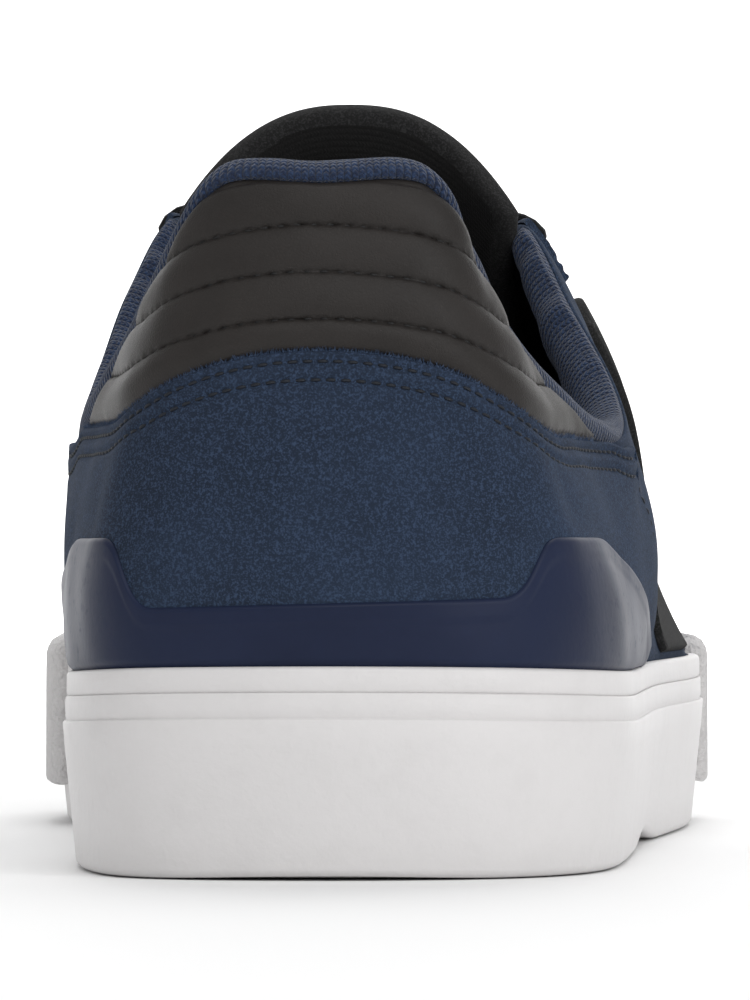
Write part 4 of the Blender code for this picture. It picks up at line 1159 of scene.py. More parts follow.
def upper_shell(name, finishes):
    """Shell of hide and lining, open at the collar, the throat and underneath."""
    t = np.concatenate([np.linspace(0, 12, 230), np.linspace(12, 20, 190)[1:-1],
                        np.linspace(20, 32, 230)[:-1]])
    w = np.concatenate([[-1.0, -0.5], between(0, 1, 48, 0.012)])
    close = np.clip((1 - w) / 0.02, 0, 1)[None, :]
    side = side_of(t)
    open_edge = (np.abs(side) <= THROAT_BASE)[:, None]
    thin = np.where(open_edge, 0.0004 * (1 - rolled(close * 0.0008, 0.0008)), 0.0)
    outer = cloth(t[:, None], w[None, :], -thin)
    inner = cloth(t[:, None], w[None, :], -UPPER_WALL + thin)
    rows, columns = len(t), len(w)
    size = rows * columns
    faces = [grid_quads(rows, columns, True), grid_quads(rows, columns, True, size)[:, ::-1]]
    i = np.arange(rows)
    foot = np.stack([i * columns, (i + 1) % rows * columns], axis=-1)
    faces.append(np.stack([foot[:, 0], foot[:, 1], foot[:, 1] + size, foot[:, 0] + size], axis=-1))
    edge = foot[np.maximum(np.abs(side), np.abs(np.roll(side, -1))) <= THROAT_BASE + 1e-6] + columns - 1
    faces.append(np.stack([edge[:, 0], edge[:, 0] + size, edge[:, 1] + size, edge[:, 1]], axis=-1))
    parts = np.concatenate([np.full(len(group), index) for group, index in zip(faces, (0, 1, 1, 0))])
    points = np.concatenate([outer.reshape(-1, 3), inner.reshape(-1, 3)])
    return piece(name, points, np.concatenate(faces), finishes, np.tile(grid_map(outer), (2, 1)), parts,
                 sharp=70.0)


# The collar's padding, as rows of height over the upper's edge and distance outside its face
Roll = namedtuple("Roll", "up out")
COLLAR = (
    Roll(-0.0026, 0.0003), Roll(-0.0023, 0.0013), Roll(-0.0008, 0.0021), Roll(0.0009, 0.0019),
    Roll(0.0021, 0.0008), Roll(0.0027, -0.0012), Roll(0.0021, -0.0045), Roll(-0.0008, -0.0071),
    Roll(-0.0062, -0.0076), Roll(-0.0140, -0.0064), Roll(-0.0240, -0.0044), Roll(-0.0335, -0.0030),
    Roll(-0.0340, -0.0022), Roll(-0.0240, -0.0020), Roll(-0.0120, -0.0020), Roll(-0.0040, -0.0020),
)
# Its first rows where the knit stays inside the edge, in front of the ankle
COLLAR_BARE = (Roll(-0.0030, -0.0016), Roll(-0.0010, -0.0011), Roll(-0.0002, -0.0007),
               Roll(0.0006, -0.0005), Roll(0.0016, -0.0009))
COLLAR_END = 7.75
COLLAR_WALL = 0.0021
BINDING_LEAST = 0.0012
BINDING_MOST = 0.0026


def binding_depth(t):
    """How far the knit comes down over the outer face: more on the slopes than behind the heel."""
    side = np.abs(t)
    more = np.clip((side - 0.9) / 0.9, 0, 1) * np.clip((4.9 - side) / 1.2, 0.3, 1)
    return BINDING_LEAST + (BINDING_MOST - BINDING_LEAST) * more


def collar_places(t):
    """How full the roll is at a rib: whole round the heel, slimmer towards the throat."""
    end = np.clip((COLLAR_END - np.abs(t)) / 1.6, 0, 1) ** 0.5
    return 0.35 + 0.65 * end


def collar_roll(name, finishes):
    """Padded roll round the collar: its rows swept along the edge, with soft folds at the front.

    The folds are a sine along the collar that grows towards the throat.
    """
    t = between(-COLLAR_END, COLLAR_END, 420, 0.01)
    full = collar_places(t)
    top = cloth(t, np.ones(t.shape), 0.0)
    normal = rib_normal(t, np.ones(t.shape))
    rise = unit(top - cloth(t, np.full(t.shape, 0.95), 0.0))
    front = np.clip((np.abs(t) - 5.6) / 1.2, 0, 1)
    fold = front * (0.00022 * np.sin(2 * math.pi * np.abs(t) / 0.42)
                    + 0.00012 * np.sin(2 * math.pi * t / 0.27))
    soft = 0.00012 * np.sin(5.1 * t + 1.0) + 0.00008 * np.sin(11.3 * t)
    over = binding_depth(t) / BINDING_MOST
    wrap = eased((5.5 - np.abs(t)) / 1.5)
    points = []
    for row, (up, out) in enumerate(COLLAR):
        if row < len(COLLAR_BARE):
            bare = COLLAR_BARE[row]
            up = up * (over if up < 0 else 1.0) * wrap + bare.up * (1 - wrap)
            out = out * (0.7 + 0.3 * over) * wrap + bare.out * (1 - wrap)
            points.append(top + rise * up[:, None] + normal * out[:, None])
            continue
        pad = np.where(out < -COLLAR_WALL, -COLLAR_WALL + (out + COLLAR_WALL) * full, out)
        height = up * (full if up < 0 else 0.55 + 0.45 * full)
        puff = (fold + soft) * (0.0 if out > -COLLAR_WALL and up < -0.002 else 1.0)
        if up >= -0.0017:
            points.append(top + rise * (height + puff * (up > 0))[:, None]
                          + normal * (pad - puff * 0.5)[:, None])
        else:
            points.append(cloth(t, w_from_top(t, -height), pad - puff))
    sections = rounded_line(np.stack(points, axis=1), 56)
    return swept(name, closed_ends(sections), finishes, ring=False, sharp=80.0)


# Quilting: the arch that all its channels repeat, flatter than the counter's, and their spacing
QUILT_TOP = 0.0971
QUILT_SPACING = 0.0066
QUILT_BOW = 0.75


def channel_height(t, channel):
    """Height of a channel, by its number from the panel's top edge down."""
    return QUILT_TOP - QUILT_BOW * (PANEL_ARCH - arch_line(t)) - channel * QUILT_SPACING


def panel_edges(t):
    """Places on each rib of the panel's lower and upper edges."""
    high = w_from_top(t, binding_depth(t) - 0.0004)
    return np.minimum(w_at_height(t, arch_line(t) - 0.0012), high - 0.02), high


def quilted_panel(name, finishes, height, pitch):
    """Quilted heel panel: pillows between sewn channels, from the counter's arch to the collar.

    A pillow is a low power of a half sine between two channels. A cosine along each channel
    dimples it at the needle holes, and longer sines beside it pucker the leather.
    """
    t = between(-PANEL_END, PANEL_END, 262, 0.006)
    low, high = panel_edges(t)
    w = spread(low, high, between(0, 1, 140, 0.02))
    level = (channel_height(t[:, None], 0) - rib_point(t[:, None], w)[..., 2]) / QUILT_SPACING
    half = np.abs(np.sin(np.pi * np.maximum(level, 0.0)))
    base = cloth(t[:, None], w, SEAT)
    along = line_lengths(base, 0)
    ends = rolled(from_border(base, "ab"), 0.012)
    turn = 2 * math.pi * along
    pucker = np.sin(turn / 0.0062 + 1.7 * np.floor(level)) * np.sin(turn / 0.031)
    seam = np.exp(-(half / 0.5) ** 2)
    holes = np.exp(-(half / 0.16) ** 2) * (0.5 - 0.5 * np.cos(turn / pitch)) * (level > 0.5)
    wide = 0.00010 * np.sin(70 * along + 3 * level) * half
    top = rolled(from_border(base, "d"), 0.0028)
    tuck = rolled(np.maximum(from_border(base, "c") - 0.0011, 0.0), 0.0045)
    pillow = height * half ** 0.45 * (0.35 + 0.65 * top) * tuck
    thick = (PANEL_THICKNESS * (0.2 + 0.8 * tuck) + pillow * ends
             + (0.00008 * pucker * seam - 0.00030 * holes) * ends + wide)
    edge = rolled(from_border(base, "abd"), 0.0016)
    return shell(name, cloth(t[:, None], w, SEAT + thick * edge), base, finishes)


def quilt_rows(pitch, length):
    """Stitches along the panel's channels, as far as its edges let them run."""
    rows = []
    for channel in (1, 2, 3):
        t = np.linspace(-4.3, 4.3, 400)
        low, high = panel_edges(t)
        w = w_at_height(t, channel_height(t, channel))
        inside = (w > low + 0.01) & (w < high - 0.012)
        rows.append(stitch_row(t[inside], w[inside], PANEL_THICKNESS + 0.00006, pitch, length))
    return rows


def arched_counter(name, finishes, thickness):
    """Suede counter between the guard and the panel, with two sewn rows under its arched edge."""
    t = between(-COUNTER_END, COUNTER_END, 330, 0.004)
    beyond = np.abs(t) > 5.62
    low = np.where(beyond, sole_edge(t) + 0.0004, guard_top(t) - 0.0010)
    high = counter_edge(t)
    share = between(0, 1, 60, 0.03)
    w = spread(w_at_height(t, low), w_at_height(t, high), share)
    rake = COUNTER_RAKE * share * np.clip(np.abs(t)[:, None] - 5.25, 0, 1.2)
    t = np.sign(t)[:, None] * (np.abs(t)[:, None] - rake)
    return patch(name, t, w, thickness, finishes, [("d", inset) for inset in DOUBLE_ROW])


def raw_edge(thickness):
    """Roots and directions of the loose fibres along the counter's raw, arched edge."""
    t = np.linspace(-4.3, 4.3, 2600)
    height = counter_edge(t)
    draw = np.random.default_rng(5)
    roots = cloth(t, w_at_height(t, height - 0.0003), thickness * draw.uniform(0.35, 0.95, t.shape))
    rise = unit(cloth(t, w_at_height(t, height), 0.0) - cloth(t, w_at_height(t, height - 0.002), 0.0))
    way = rise + rib_normal(t, w_at_height(t, height)) * draw.uniform(0.1, 0.9, (len(t), 1))
    return roots, unit(way + draw.normal(0.0, 0.45, (len(t), 3)))


def fibres(name, roots, ways, length, width, finish):
    """Loose fibres as thin three-sided spikes."""
    draw = np.random.default_rng(9)
    side = unit(np.cross(ways, [0.3, 0.5, 0.8]))
    other = np.cross(ways, side)
    angle = np.array([0.0, 2.1, 4.2])
    ring = side[:, None] * np.cos(angle)[:, None] + other[:, None] * np.sin(angle)[:, None]
    tips = roots + ways * (length * draw.uniform(0.4, 1.0, (len(roots), 1)))
    points = np.concatenate([roots[:, None] + ring * width / 2, tips[:, None]], axis=1)
    start = np.arange(len(roots))[:, None] * 4
    faces = np.concatenate([start + corner for corner in ((0, 1, 3), (1, 2, 3), (2, 0, 3), (2, 1, 0))])
    return piece(name, points, faces, [finish], sharp=80.0)


def counter_rows(thickness, pitch, length):
    """Two rows of stitches under the counter's arched edge, and one up its front edge."""
    t = np.linspace(-5.15, 5.15, 330)
    edge = counter_edge(t)
    rows = [stitch_row(t, w_at_height(t, edge - down), thickness - 0.00012, pitch, length)
            for down in DOUBLE_ROW]
    for side in (1, -1):
        share = np.linspace(0.08, 0.93, 40)
        front = COUNTER_END - 0.07 - COUNTER_RAKE * 1.13 * share
        top, low = counter_edge(front), sole_edge(front)
        place = (front - 0.085) * side
        w = w_at_height(place, low + (top - low) * share)
        rows.append(stitch_row(place, w, thickness - STITCH_SINK, pitch, length))
    return rows


def moulded_guard(name, finishes):
    """Moulded heel guard: full at its foot, with a rounded upper rim and a shallow step inside it."""
    t = between(-GUARD_END, GUARD_END, 360, 0.004)
    w_low = w_at_height(t, sole_edge(t) + SEAT)
    eased_top = np.mean([guard_top(t + step) for step in np.linspace(-0.13, 0.13, 9)], axis=0)
    w = spread(w_low, w_at_height(t, eased_top), between(0, 1, 44, 0.05))
    base = cloth(t[:, None], w, SEAT)
    rim = from_border(base, "abd")
    step = 0.00012 * np.clip((rim - 0.0026) / 0.0010, 0, 1)
    height = GUARD_THICKNESS * rolled(rim, 0.0009) - step
    foot = np.exp(-(line_lengths(base, 1) / 0.0007) ** 2)
    height = height - 0.0006 * foot
    return shell(name, cloth(t[:, None], w, SEAT + height), base, finishes)


def saddle_places(side, count, rows):
    """Grid of places of a side panel: raked forward, narrower and curved towards its top."""
    share = between(0, 1, rows, 0.02)
    across = between(0, 1, count, 0.02)
    w = 0.012 + 0.725 * share
    back = 8.7 - 1.2 * share - 0.12 * np.sin(np.pi * share)
    front = 10.2 - 0.9 * share - 0.10 * np.sin(np.pi * share)
    t = (back[None, :] + (front - back)[None, :] * across[:, None]) * side
    return t, np.broadcast_to(w, t.shape)


def saddle(name, side, finishes, thickness):
    """Plain saddle from beside the lace stay down to the sole, with sewn front and back edges."""
    t, w = saddle_places(side, 80, 90)
    return patch(name, t, w, thickness, finishes, [("a", SADDLE_ROW), ("b", SADDLE_ROW)])


def saddle_rows(side, thickness, pitch, length):
    """Stitches along a saddle's front, back and upper edges."""
    t, w = saddle_places(side, 60, 90)
    rows = []
    for index, inset in ((0, SADDLE_TURN), (-1, -SADDLE_TURN)):
        place = (np.abs(t[index]) + inset)[4:-6] * side
        rows.append(stitch_row(place, w[index][4:-6], thickness - STITCH_SINK, pitch, length))
    rows.append(stitch_row(t[5:-5, -1], w[5:-5, -1] - 0.026, thickness - STITCH_SINK, pitch, length))
    return rows


def both_sides(t, w):
    """Places carried on over the ridge and back down the other side."""
    return np.concatenate([t, -t[-2::-1]]), np.concatenate([w, w[-2::-1]])


def stay_edge(count):
    """Lace stay's outer edge, as ribs and places from the outer side's top down to the middle."""
    t = np.linspace(THROAT_TOP - 0.02, THROAT_BASE, count)
    width = np.interp(t, (THROAT_TOP, THROAT_TOP + 0.5), (EYESTAY_WIDTH * 0.9, EYESTAY_WIDTH))
    angle = np.linspace(0, math.pi / 2, 24)[1:]
    turn = THROAT_BASE + 0.46 * np.sin(angle)
    turn_w = w_from_top(turn, EYESTAY_WIDTH * np.maximum(np.cos(angle), 0) + 0.0001)
    turn_w[-1] = 1.0
    return np.concatenate([t, turn]), np.concatenate([w_from_top(t, width), turn_w])


def lace_stay(name, finishes, thickness):
    """Lace stay round the throat, from its edge to a rounded foot across the ridge."""
    edge_t, edge_w = stay_edge(110)
    share = between(0, 1, 24, 0.05)[None, :]
    from_t = np.minimum(edge_t, THROAT_BASE)[:, None]
    t = from_t + (edge_t[:, None] - from_t) * share
    t, w = both_sides(t, 1 - (1 - edge_w[:, None]) * share)
    return patch(name, t, w, thickness, finishes, [("d", inset) for inset in STAY_ROWS])


def stay_rows(thickness, pitch, length):
    """Double row of stitches inside the lace stay's outer edge."""
    rows = []
    edge_t, edge_w = stay_edge(110)
    from_t = np.minimum(edge_t, THROAT_BASE)
    for inset in STAY_ROWS:
        share = 1 - inset / EYESTAY_WIDTH
        t, w = both_sides(from_t + (edge_t - from_t) * share, 1 - (1 - edge_w) * share)
        rows.append(stitch_row(t[3:-3], w[3:-3], thickness - STITCH_SINK, pitch, length))
    return rows


def cap_seam(w):
    """Rib of the toe cap's seam at a place up the ribs: it bows back towards the throat."""
    return 12.45 + 1.15 * w ** 2.6


def toe_cap(name, finishes, thickness):
    """Toe cap: from its seam across the vamp to the tip, over both sides in one piece."""
    w = between(0, 1, 56, 0.02)
    seam = cap_seam(w)
    share = between(0, 1, 90, 0.012)[:, None]
    t = seam[None, :] + (TOE_TIP - seam)[None, :] * share
    foot = w_at_height(t[:, 0], sole_edge(t[:, 0]) + 0.0006)
    w = foot[:, None] + (1 - foot[:, None]) * w[None, :]
    t, w = [grid.T for grid in both_sides(t.T, w.T)]
    base = cloth(t, w, SEAT)
    height = thickness * rolled(from_border(base, "acd"), HIDE_EDGE)
    for inset in DOUBLE_ROW:
        height = channelled(height, base, "a", inset, CAP_SEAM_DEPTH, CAP_SEAM_WIDTH)
    return shell(name, cloth(t, w, SEAT + height), base, finishes, sides="acd")


def cap_rows(thickness, pitch, length):
    """Two rows of stitches along the toe cap's seam."""
    w = np.linspace(0.10, 1, 120)
    rows = []
    for ahead in CAP_SEAM_RIBS:
        seam = both_sides(cap_seam(w) + ahead, w)
        rows.append(stitch_row(*seam, thickness - STITCH_SINK, pitch, length))
    return rows


def tongue_normal(q, p):
    """Inward direction of the tongue's outer face, from small steps along and across it."""
    along = tongue_point(np.clip(q + 0.01, 0, 1), p) - tongue_point(np.clip(q - 0.01, 0, 1), p)
    return unit(np.cross(tongue_point(q, p + 0.01) - tongue_point(q, p - 0.01), along))


def tongue_pad(name, finishes):
    """Padded tongue: its middle sheet thickened both ways; the suede turns over its rounded edges."""
    q = between(0, 1, 130, 0.008)
    p = between(-1, 1, 70, 0.012)
    q, p = np.meshgrid(q, p, indexing="ij")
    outer = tongue_point(q, p)
    normal = tongue_normal(q, p)
    thick = TONGUE_THICKNESS * (1 - 0.30 * np.abs(p) ** 4)
    round_ = rolled(from_border(outer, "abcd"), 0.0021)
    puff = 0.0005 * np.cos(np.pi * p / 2) ** 2 * np.sin(np.pi * np.clip(q, 0, 1)) ** 0.5
    wave = 0.0003 * np.sin(9 * q + 2 * p) * np.sin(4 * p + 1)
    middle = outer + normal * (TONGUE_THICKNESS / 2 + wave)[..., None]
    half = ((thick / 2 + puff) * round_)[..., None]
    return shell(name, placed(middle - normal * half), placed(middle + normal * half), finishes,
                 sharp=70.0, turned=0.0045)


def tongue_rows(pitch):
    """Row of stitches inside the tongue's free edge, on its outer face."""
    u = np.linspace(0, 1, 300)
    p = np.interp(u, (0, 0.36, 0.64, 1), (-0.82, -0.82, 0.82, 0.82))
    q = np.interp(u, (0, 0.36, 0.40, 0.60, 0.64, 1), (0.45, 0.915, 0.935, 0.935, 0.915, 0.45))
    normal = -tongue_normal(q, p)
    line = placed(tongue_point(q, p) + normal * 0.0004)
    run = run_length(line)
    place = np.arange(pitch, run[-1] - pitch, pitch)
    way = unit(sampled(place, run, np.gradient(line, run, axis=0)))
    return [(sampled(place, run, line), way, unit(sampled(place, run, normal)))]


# Lacing


def lace_holes(side):
    """Ribs and places of the lace holes on one side."""
    fine = np.linspace(THROAT_TOP + 0.4, THROAT_BASE - 0.75, 60) * side
    line = cloth(fine, w_from_top(fine, HOLE_INSET), 0.0)
    run = run_length(line)
    t = np.interp(np.linspace(0, run[-1], HOLE_PAIRS), run, fine)
    return t, w_from_top(t, HOLE_INSET)


def lace_run(start, end, lift, width, thickness):
    """Sections of one flat lace between two holes: up out of one, over both edges, down the other.

    The line is a smooth path; the section is a flattened circle that narrows at the holes.
    """
    (hole, face, edge, edge_face), (far, far_face, far_edge, far_edge_face) = start, end
    middle = (edge + far_edge) / 2
    up = np.array([0.0, 0.30, 0.95])
    line = smooth_path([hole - face * 0.0028, hole + face * 0.0009, (hole + edge) / 2 + face * 0.0014,
                        edge + edge_face * 0.0010, middle + up * (LACE_CROWN + lift),
                        far_edge + far_edge_face * 0.0010, (far + far_edge) / 2 + far_face * 0.0014,
                        far + far_face * 0.0009, far - far_face * 0.0028], 72)
    facing = unit(smooth_path([face, face, face, edge_face, up, far_edge_face, far_face, far_face,
                               far_face], 72))
    way = unit(np.gradient(line, axis=0))
    wide = unit(np.cross(way, facing))
    thick = np.cross(wide, way)
    share = np.linspace(0, 1, 72)
    narrow = 0.42 + 0.58 * np.clip(np.minimum(share, 1 - share) / 0.17, 0, 1) ** 0.7
    angle = np.linspace(0, 2 * math.pi, 20, endpoint=False)
    across = np.sign(np.cos(angle)) * np.abs(np.cos(angle)) ** 0.55 * width / 2
    high = np.sin(angle) * thickness / 2 * (1 + 0.25 * np.cos(2 * angle))
    return (line[:, None] + wide[:, None] * (across[None, :] * narrow[:, None])[..., None]
            + thick[:, None] * (high[None, :] / narrow[:, None] ** 0.5)[..., None])


def lacing(name, finishes, width, thickness, stay):
    """Flat lace: a bar over the throat's foot, then crossings up to the top pair of holes."""
    ends = []
    for side in (1, -1):
        t, w = lace_holes(side)
        face, edge_face = rib_normal(t, w), rib_normal(t, np.ones(t.shape))
        holes = cloth(t, w, stay)
        edges = cloth(t, np.ones(t.shape), stay)
        ends.append(list(zip(holes, face, edges, edge_face)))
    outer, inner = ends
    runs = [lace_run(outer[-1], inner[-1], 0.0, width, thickness)]
    for k in range(HOLE_PAIRS - 1):
        over = 0.0009 * (1 if k % 2 else -1)
        runs.append(lace_run(outer[k + 1], inner[k], over, width, thickness))
        runs.append(lace_run(inner[k + 1], outer[k], -over, width, thickness))
    points, faces, maps, start = [], [], [], 0
    for run in runs:
        shut = closed_ends(run)
        ring = np.concatenate([shut, shut[:, :1]], axis=1)
        faces.append(grid_quads(*ring.shape[:2], start=start))
        maps.append(np.stack([line_lengths(ring, 0).mean(axis=1, keepdims=True) + 0 * ring[..., 0],
                              line_lengths(ring, 1)], axis=-1).reshape(-1, 2))
        points.append(ring.reshape(-1, 3))
        start += ring.shape[0] * ring.shape[1]
    return piece(name, np.concatenate(points), np.concatenate(faces), finishes, np.concatenate(maps),
                 sharp=80.0)


def eyelets(name, finishes, stay):
    """Punched lace holes: a pressed-down ring of the hide round a closed dark disc of painted shade
    where the hollow would be, for each hole.
    """
    angle = np.linspace(0, 2 * math.pi, 29)
    profile = [(0.0040, -0.0002), (0.0035, 0.00015), (0.0030, 0.00035), (0.0027, 0.0003),
               (0.0024, 0.00012), (0.0022, 0.00008), (0.0010, 0.00006), (0.0, 0.00006)]
    profile += [(radius, -0.0005) for radius, _ in profile[::-1]] + profile[:1]
    points, faces, start = [], [], 0
    for side in (1, -1):
        t, w = lace_holes(side)
        for hole_t, hole_w in zip(t, w):
            middle = cloth(hole_t, hole_w, stay)
            face = rib_normal(hole_t, hole_w)
            along = unit(cloth(hole_t + 0.05, hole_w, stay) - middle)
            across = unit(np.cross(face, along))
            grid = np.stack([middle + face * h + (np.cos(angle)[:, None] * along
                                                  + np.sin(angle)[:, None] * across) * r
                             for r, h in profile], axis=1)
            faces.append(grid_quads(*grid.shape[:2], start=start))
            points.append(grid.reshape(-1, 3))
            start += grid.shape[0] * grid.shape[1]
    columns = len(profile) - 1
    # Painted shade: the disc inside each ring takes the second, dark finish in place of an open hollow.
    inside = (np.abs(np.arange(len(faces[0])) % columns - 6.5) < 3).astype(int)
    return piece(name, np.concatenate(points), np.concatenate(faces), finishes,
                 parts=np.tile(inside, len(faces)), sharp=80.0)


# Stage


def studio_floor(name, finishes):
    """Pale floor that runs level under the shoe and curves up behind it, as one swept profile."""
    angle = np.radians(np.linspace(0, 90, 24))
    back = 4.0 + 1.5 * np.sin(angle)
    up = 1.5 * (1 - np.cos(angle))
    profile = np.concatenate([[[-6.0, 0.0], [-2.0, 0.0], [0.0, 0.0], [2.0, 0.0]],
                              np.stack([back, up], axis=-1), [[5.5, 4.5]]])
    across = np.linspace(-6, 6, 9)
    grid = np.stack([np.broadcast_to(across[:, None], (9, len(profile))),
                     np.broadcast_to(profile[None, :, 0], (9, len(profile))),
                     np.broadcast_to(profile[None, :, 1] - 0.0002, (9, len(profile)))], axis=-1)
    mesh = bpy.data.meshes.new(name)
    mesh.from_pydata(grid.reshape(-1, 3).tolist(), [], grid_quads(9, len(profile))[:, ::-1].tolist())
    mesh.shade_smooth()
    floor = bpy.data.objects.new(name, mesh)
    floor.data.materials.append(finishes[0])
    bpy.context.scene.collection.objects.link(floor)


def softbox(name, place, aim, width, height, power):
    """Rectangular soft light at a place, turned towards another."""
    lamp = bpy.data.lights.new(name, "AREA")
    lamp.shape = "RECTANGLE"
    lamp.size, lamp.size_y = width, height
    lamp.energy = power
    made = bpy.data.objects.new(name, lamp)
    made.location = place
    made.rotation_euler = (Vector(aim) - Vector(place)).to_track_quat("-Z", "Y").to_euler()
    bpy.context.scene.collection.objects.link(made)


def photo_camera(distance, height, aside, closer, centre):
    """Camera level behind the heel; its small shift keeps the picture's own perspective."""
    lens = bpy.data.cameras.new("photo_camera")
    lens.sensor_fit = "VERTICAL"
    lens.sensor_width = lens.sensor_height = SENSOR
    lens.lens = PHOTO_FOCAL * SENSOR * closer
    lens.shift_x = (centre[0] - PHOTO_MIDDLE[0]) * closer / PHOTO_HEIGHT
    lens.shift_y = -(centre[1] - PHOTO_MIDDLE[1]) * closer / PHOTO_HEIGHT
    lens.clip_start, lens.clip_end = 0.05, 50.0
    made = bpy.data.objects.new("photo_camera", lens)
    made.location = (aside + SHIFT[0], SHIFT[1] - distance, height)
    made.rotation_euler = (math.pi / 2, 0, 0)
    bpy.context.scene.collection.objects.link(made)
    bpy.context.scene.camera = made


# Settings that a user changes


def measure(name, words, value):
    """Length property with its default."""
    return bpy.props.FloatProperty(name=name, description=words, default=value, unit="LENGTH")


class ShoeSizes(bpy.types.PropertyGroup):
    """Sizes of the hides, the padding, the threads and the laces."""

    hide: measure("Hide", "Thickness of the suede overlays", OVERLAY)
    pillow: measure("Pillow", "Height of the quilted pillows", 0.0009)
    stitch: measure("Stitch", "Length of one stitch", 0.0015)
    pitch: measure("Pitch", "Distance from stitch to stitch", 0.0021)
    quilt_pitch: measure("Quilt pitch", "The same in the quilting", 0.0023)
    thread: measure("Thread", "Width of the sewing thread", 0.0005)
    lace_width: measure("Lace width", "Width of the flat lace", LACE_WIDTH)
    lace_thickness: measure("Lace thickness", "Thickness of the lace", LACE_THICKNESS)


def tint(name, words, value):
    """Colour property with its default."""
    return bpy.props.FloatVectorProperty(name=name, description=words, default=value, size=4,
                                         min=0.0, max=1.0, subtype="COLOR")


class ShoeColors(bpy.types.PropertyGroup):
    """Colours of the finishes, as linear values."""

    suede: tint("Suede", "Navy suede of the shell and the counter", (0.0122, 0.0205, 0.0390, 1.0))
    tongue: tint("Tongue", "Black suede of the tongue and the saddles", (0.0090, 0.0090, 0.0092, 1.0))
    leather: tint("Leather", "Quilted leather of the heel panel", (0.0225, 0.0196, 0.0182, 1.0))
    knit: tint("Knit", "Dark yarn of the collar", (0.0070, 0.0155, 0.044, 1.0))
    knit_light: tint("Light knit", "Light yarn of the collar", (0.024, 0.054, 0.130, 1.0))
    inside: tint("Inside", "Cloth that lines the shoe", (0.0016, 0.0015, 0.0015, 1.0))
    guard: tint("Guard", "Moulded heel guard", (0.0120, 0.0180, 0.045, 1.0))
    rubber: tint("Rubber", "White sole", (0.70, 0.685, 0.685, 1.0))
    lace: tint("Lace", "Laces and their thread", (0.010, 0.010, 0.011, 1.0))
    floor: tint("Floor", "Studio floor", (0.90, 0.90, 0.90, 1.0))


# One operator for each group of like pieces


class ShoeOperator:
    """What the operators share."""

    bl_options = {"REGISTER", "UNDO"}

    @classmethod
    def poll(cls, context):
        """The shoe's settings have to be there."""
        return hasattr(context.scene, "shoe_sizes")


class SHOE_OT_sole(ShoeOperator, bpy.types.Operator):
    """Build the side band, the tread, the toe bumper and the insole"""

    bl_idname = "shoe.sole"
    bl_label = "Sole"

    def execute(self, context):
        band_piece = side_band("sole_band", [finish(context, "white_rubber")])
        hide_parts("foxing")
        tread = tread_plate("sole_tread", [finish(context, "tread_rubber")])
        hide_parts("outsole")
        bumper = toe_bumper("bumper_strip", [finish(context, "rough_rubber")])
        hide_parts("toe_bumper")
        insole = footbed("footbed", [finish(context, "dark_cloth")])
        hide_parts("insole")
        return {"FINISHED"}


class SHOE_OT_shell(ShoeOperator, bpy.types.Operator):
    """Build the suede shell and its lining"""

    bl_idname = "shoe.shell"
    bl_label = "Shell"

    def execute(self, context):
        looks = [finish(context, "navy_suede"), finish(context, "dark_cloth")]
        made = upper_shell("upper_shell", looks)
        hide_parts("upper")
        return {"FINISHED"}


class SHOE_OT_collar(ShoeOperator, bpy.types.Operator):
    """Build the padded knit collar"""

    bl_idname = "shoe.collar"
    bl_label = "Collar"

    def execute(self, context):
        made = collar_roll("collar_roll", [finish(context, "navy_knit")])
        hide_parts("collar_lining")
        return {"FINISHED"}


class SHOE_OT_tongue(ShoeOperator, bpy.types.Operator):
    """Build the padded tongue"""

    bl_idname = "shoe.tongue"
    bl_label = "Tongue"

    def execute(self, context):
        made = tongue_pad("tongue_pad", [finish(context, "black_suede"), finish(context, "dark_cloth")])
        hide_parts("tongue")
        return {"FINISHED"}


class SHOE_OT_heel(ShoeOperator, bpy.types.Operator):
    """Build the quilted panel, the counter and the moulded guard"""

    bl_idname = "shoe.heel"
    bl_label = "Heel"

    def execute(self, context):
        sizes = context.scene.shoe_sizes
        panel = quilted_panel("quilted_panel", [finish(context, "black_leather")], sizes.pillow,
                              sizes.quilt_pitch)
        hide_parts("heel_panel")
        counter = arched_counter("suede_counter", [finish(context, "navy_suede")], sizes.hide)
        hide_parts("heel_counter")
        fuzz = fibres("raw_edge_fibres", *raw_edge(sizes.hide), FIBRE_LENGTH, FIBRE_WIDTH,
                      finish(context, "suede_fibre"))
        guard = moulded_guard("moulded_guard", [finish(context, "navy_guard")])
        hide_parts("heel_piece")
        return {"FINISHED"}


class SHOE_OT_sides(ShoeOperator, bpy.types.Operator):
    """Build the saddles on both sides"""

    bl_idname = "shoe.sides"
    bl_label = "Saddles"

    def execute(self, context):
        hide = context.scene.shoe_sizes.hide
        for name, side in (("lateral", 1), ("medial", -1)):
            made = saddle("saddle_" + name, side, [finish(context, "black_suede")], hide)
            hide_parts("side_panel_" + name)
        return {"FINISHED"}


class SHOE_OT_front(ShoeOperator, bpy.types.Operator):
    """Build the lace stay, its holes and the toe cap"""

    bl_idname = "shoe.front"
    bl_label = "Front"

    def execute(self, context):
        hide = context.scene.shoe_sizes.hide
        stay = lace_stay("lace_stay", [finish(context, "navy_suede")], hide)
        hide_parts("eyestay")
        # The dark second finish of the holes paints the shade of their hollows.
        holes = eyelets("lace_holes", [finish(context, "navy_suede"), finish(context, "black_thread")],
                        hide + 0.0001)
        cap = toe_cap("cap_overlay", [finish(context, "navy_suede")], hide)
        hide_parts("toe_cap")
        return {"FINISHED"}


class SHOE_OT_laces(ShoeOperator, bpy.types.Operator):
    """Build the flat laces through their holes"""

    bl_idname = "shoe.laces"
    bl_label = "Laces"

    def execute(self, context):
        sizes = context.scene.shoe_sizes
        made = lacing("flat_laces", [finish(context, "lace_cloth")], sizes.lace_width,
                      sizes.lace_thickness, sizes.hide)
        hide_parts("laces")
        return {"FINISHED"}


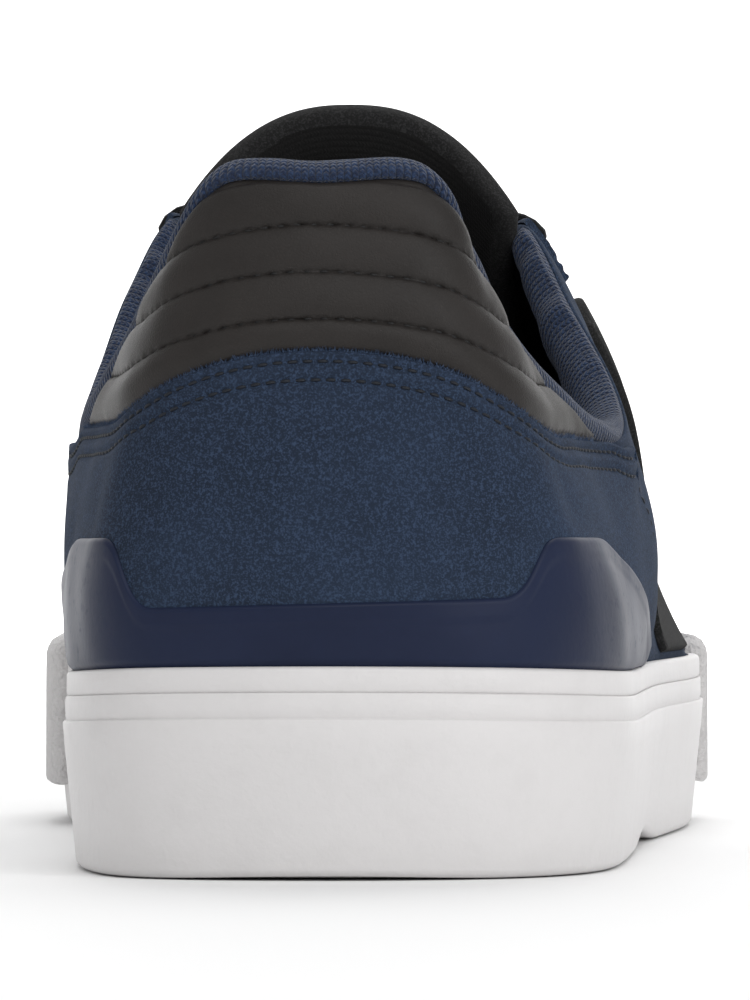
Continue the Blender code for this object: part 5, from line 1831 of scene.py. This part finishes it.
class SHOE_OT_stitching(ShoeOperator, bpy.types.Operator):
    """Sew the pieces: navy thread on the suede, black thread on leather and saddles"""

    bl_idname = "shoe.stitching"
    bl_label = "Stitching"

    def execute(self, context):
        sizes = context.scene.shoe_sizes
        hide, pitch, length = sizes.hide, sizes.pitch, sizes.stitch
        navy = counter_rows(hide, pitch, length) + stay_rows(hide, pitch, length)
        navy += cap_rows(hide, pitch, length)
        black = saddle_rows(1, hide, pitch, length) + saddle_rows(-1, hide, pitch, length)
        black += quilt_rows(sizes.quilt_pitch, length) + tongue_rows(pitch)
        for name, rows, thread in (("navy", navy, "navy_thread"), ("black", black, "black_thread")):
            made = stitches("stitches_" + name, rows, length, sizes.thread, finish(context, thread))
        return {"FINISHED"}


class SHOE_OT_stage(ShoeOperator, bpy.types.Operator):
    """Set the floor, the soft lights and the camera"""

    bl_idname = "shoe.stage"
    bl_label = "Stage"

    def execute(self, context):
        studio_floor("studio_floor", [finish(context, "floor")])
        world = context.scene.world or bpy.data.worlds.new("studio")
        context.scene.world = world
        world.use_nodes = True
        sky = world.node_tree.nodes["Background"]
        sky.inputs["Color"].default_value = (1.0, 1.0, 1.0, 1.0)
        sky.inputs["Strength"].default_value = 0.50
        softbox("key", (0.3, -1.6, 1.7), (0, 0, 0.04), 1.2, 1.0, 11.0)
        softbox("top", (0.05, 0.8, 1.6), (0, 0, 0.0), 1.2, 1.2, 14.0)
        softbox("left", (-1.7, -0.6, 0.7), (0, -0.05, 0.05), 0.5, 1.5, 1.5)
        softbox("right", (1.3, -1.3, 0.7), (0, -0.08, 0.05), 0.5, 1.4, 10.0)
        softbox("backdrop", (0.0, 1.6, 2.2), (0.0, 5.0, 0.2), 3.0, 1.0, 230.0)
        context.scene.view_settings.view_transform = "Standard"
        photo_camera(0.965, 0.047, 0.0065, 1.80, (566, 497))
        return {"FINISHED"}


STEPS = (SHOE_OT_sole, SHOE_OT_shell, SHOE_OT_collar, SHOE_OT_tongue, SHOE_OT_heel, SHOE_OT_sides,
         SHOE_OT_front, SHOE_OT_laces, SHOE_OT_stitching, SHOE_OT_stage)


class SHOE_PT_panel(bpy.types.Panel):
    """Panel that lists the shoe's steps, sizes and colours."""

    bl_idname = "SHOE_PT_panel"
    bl_label = "Skate shoe"
    bl_space_type = "VIEW_3D"
    bl_region_type = "UI"
    bl_category = "Shoe"

    def draw(self, context):
        """Buttons first, then the settings."""
        for step in STEPS:
            self.layout.operator(step.bl_idname)
        for group in (context.scene.shoe_sizes, context.scene.shoe_colors):
            box = self.layout.box()
            for name in group.__annotations__:
                box.prop(group, name)


CLASSES = (ShoeSizes, ShoeColors) + STEPS + (SHOE_PT_panel,)


def register():
    """Register the classes and hang the settings on the scene."""
    for cls in CLASSES:
        bpy.utils.register_class(cls)
    bpy.types.Scene.shoe_sizes = bpy.props.PointerProperty(type=ShoeSizes)
    bpy.types.Scene.shoe_colors = bpy.props.PointerProperty(type=ShoeColors)


def unregister():
    """Take the settings and the classes away again."""
    del bpy.types.Scene.shoe_sizes
    del bpy.types.Scene.shoe_colors
    for cls in reversed(CLASSES):
        bpy.utils.unregister_class(cls)


def main():
    """Build every piece in order."""
    register()
    for step in STEPS:
        group, name = step.bl_idname.split(".")
        getattr(getattr(bpy.ops, group), name)()
    bpy.context.view_layer.update()


if __name__ == "__main__":
    main()
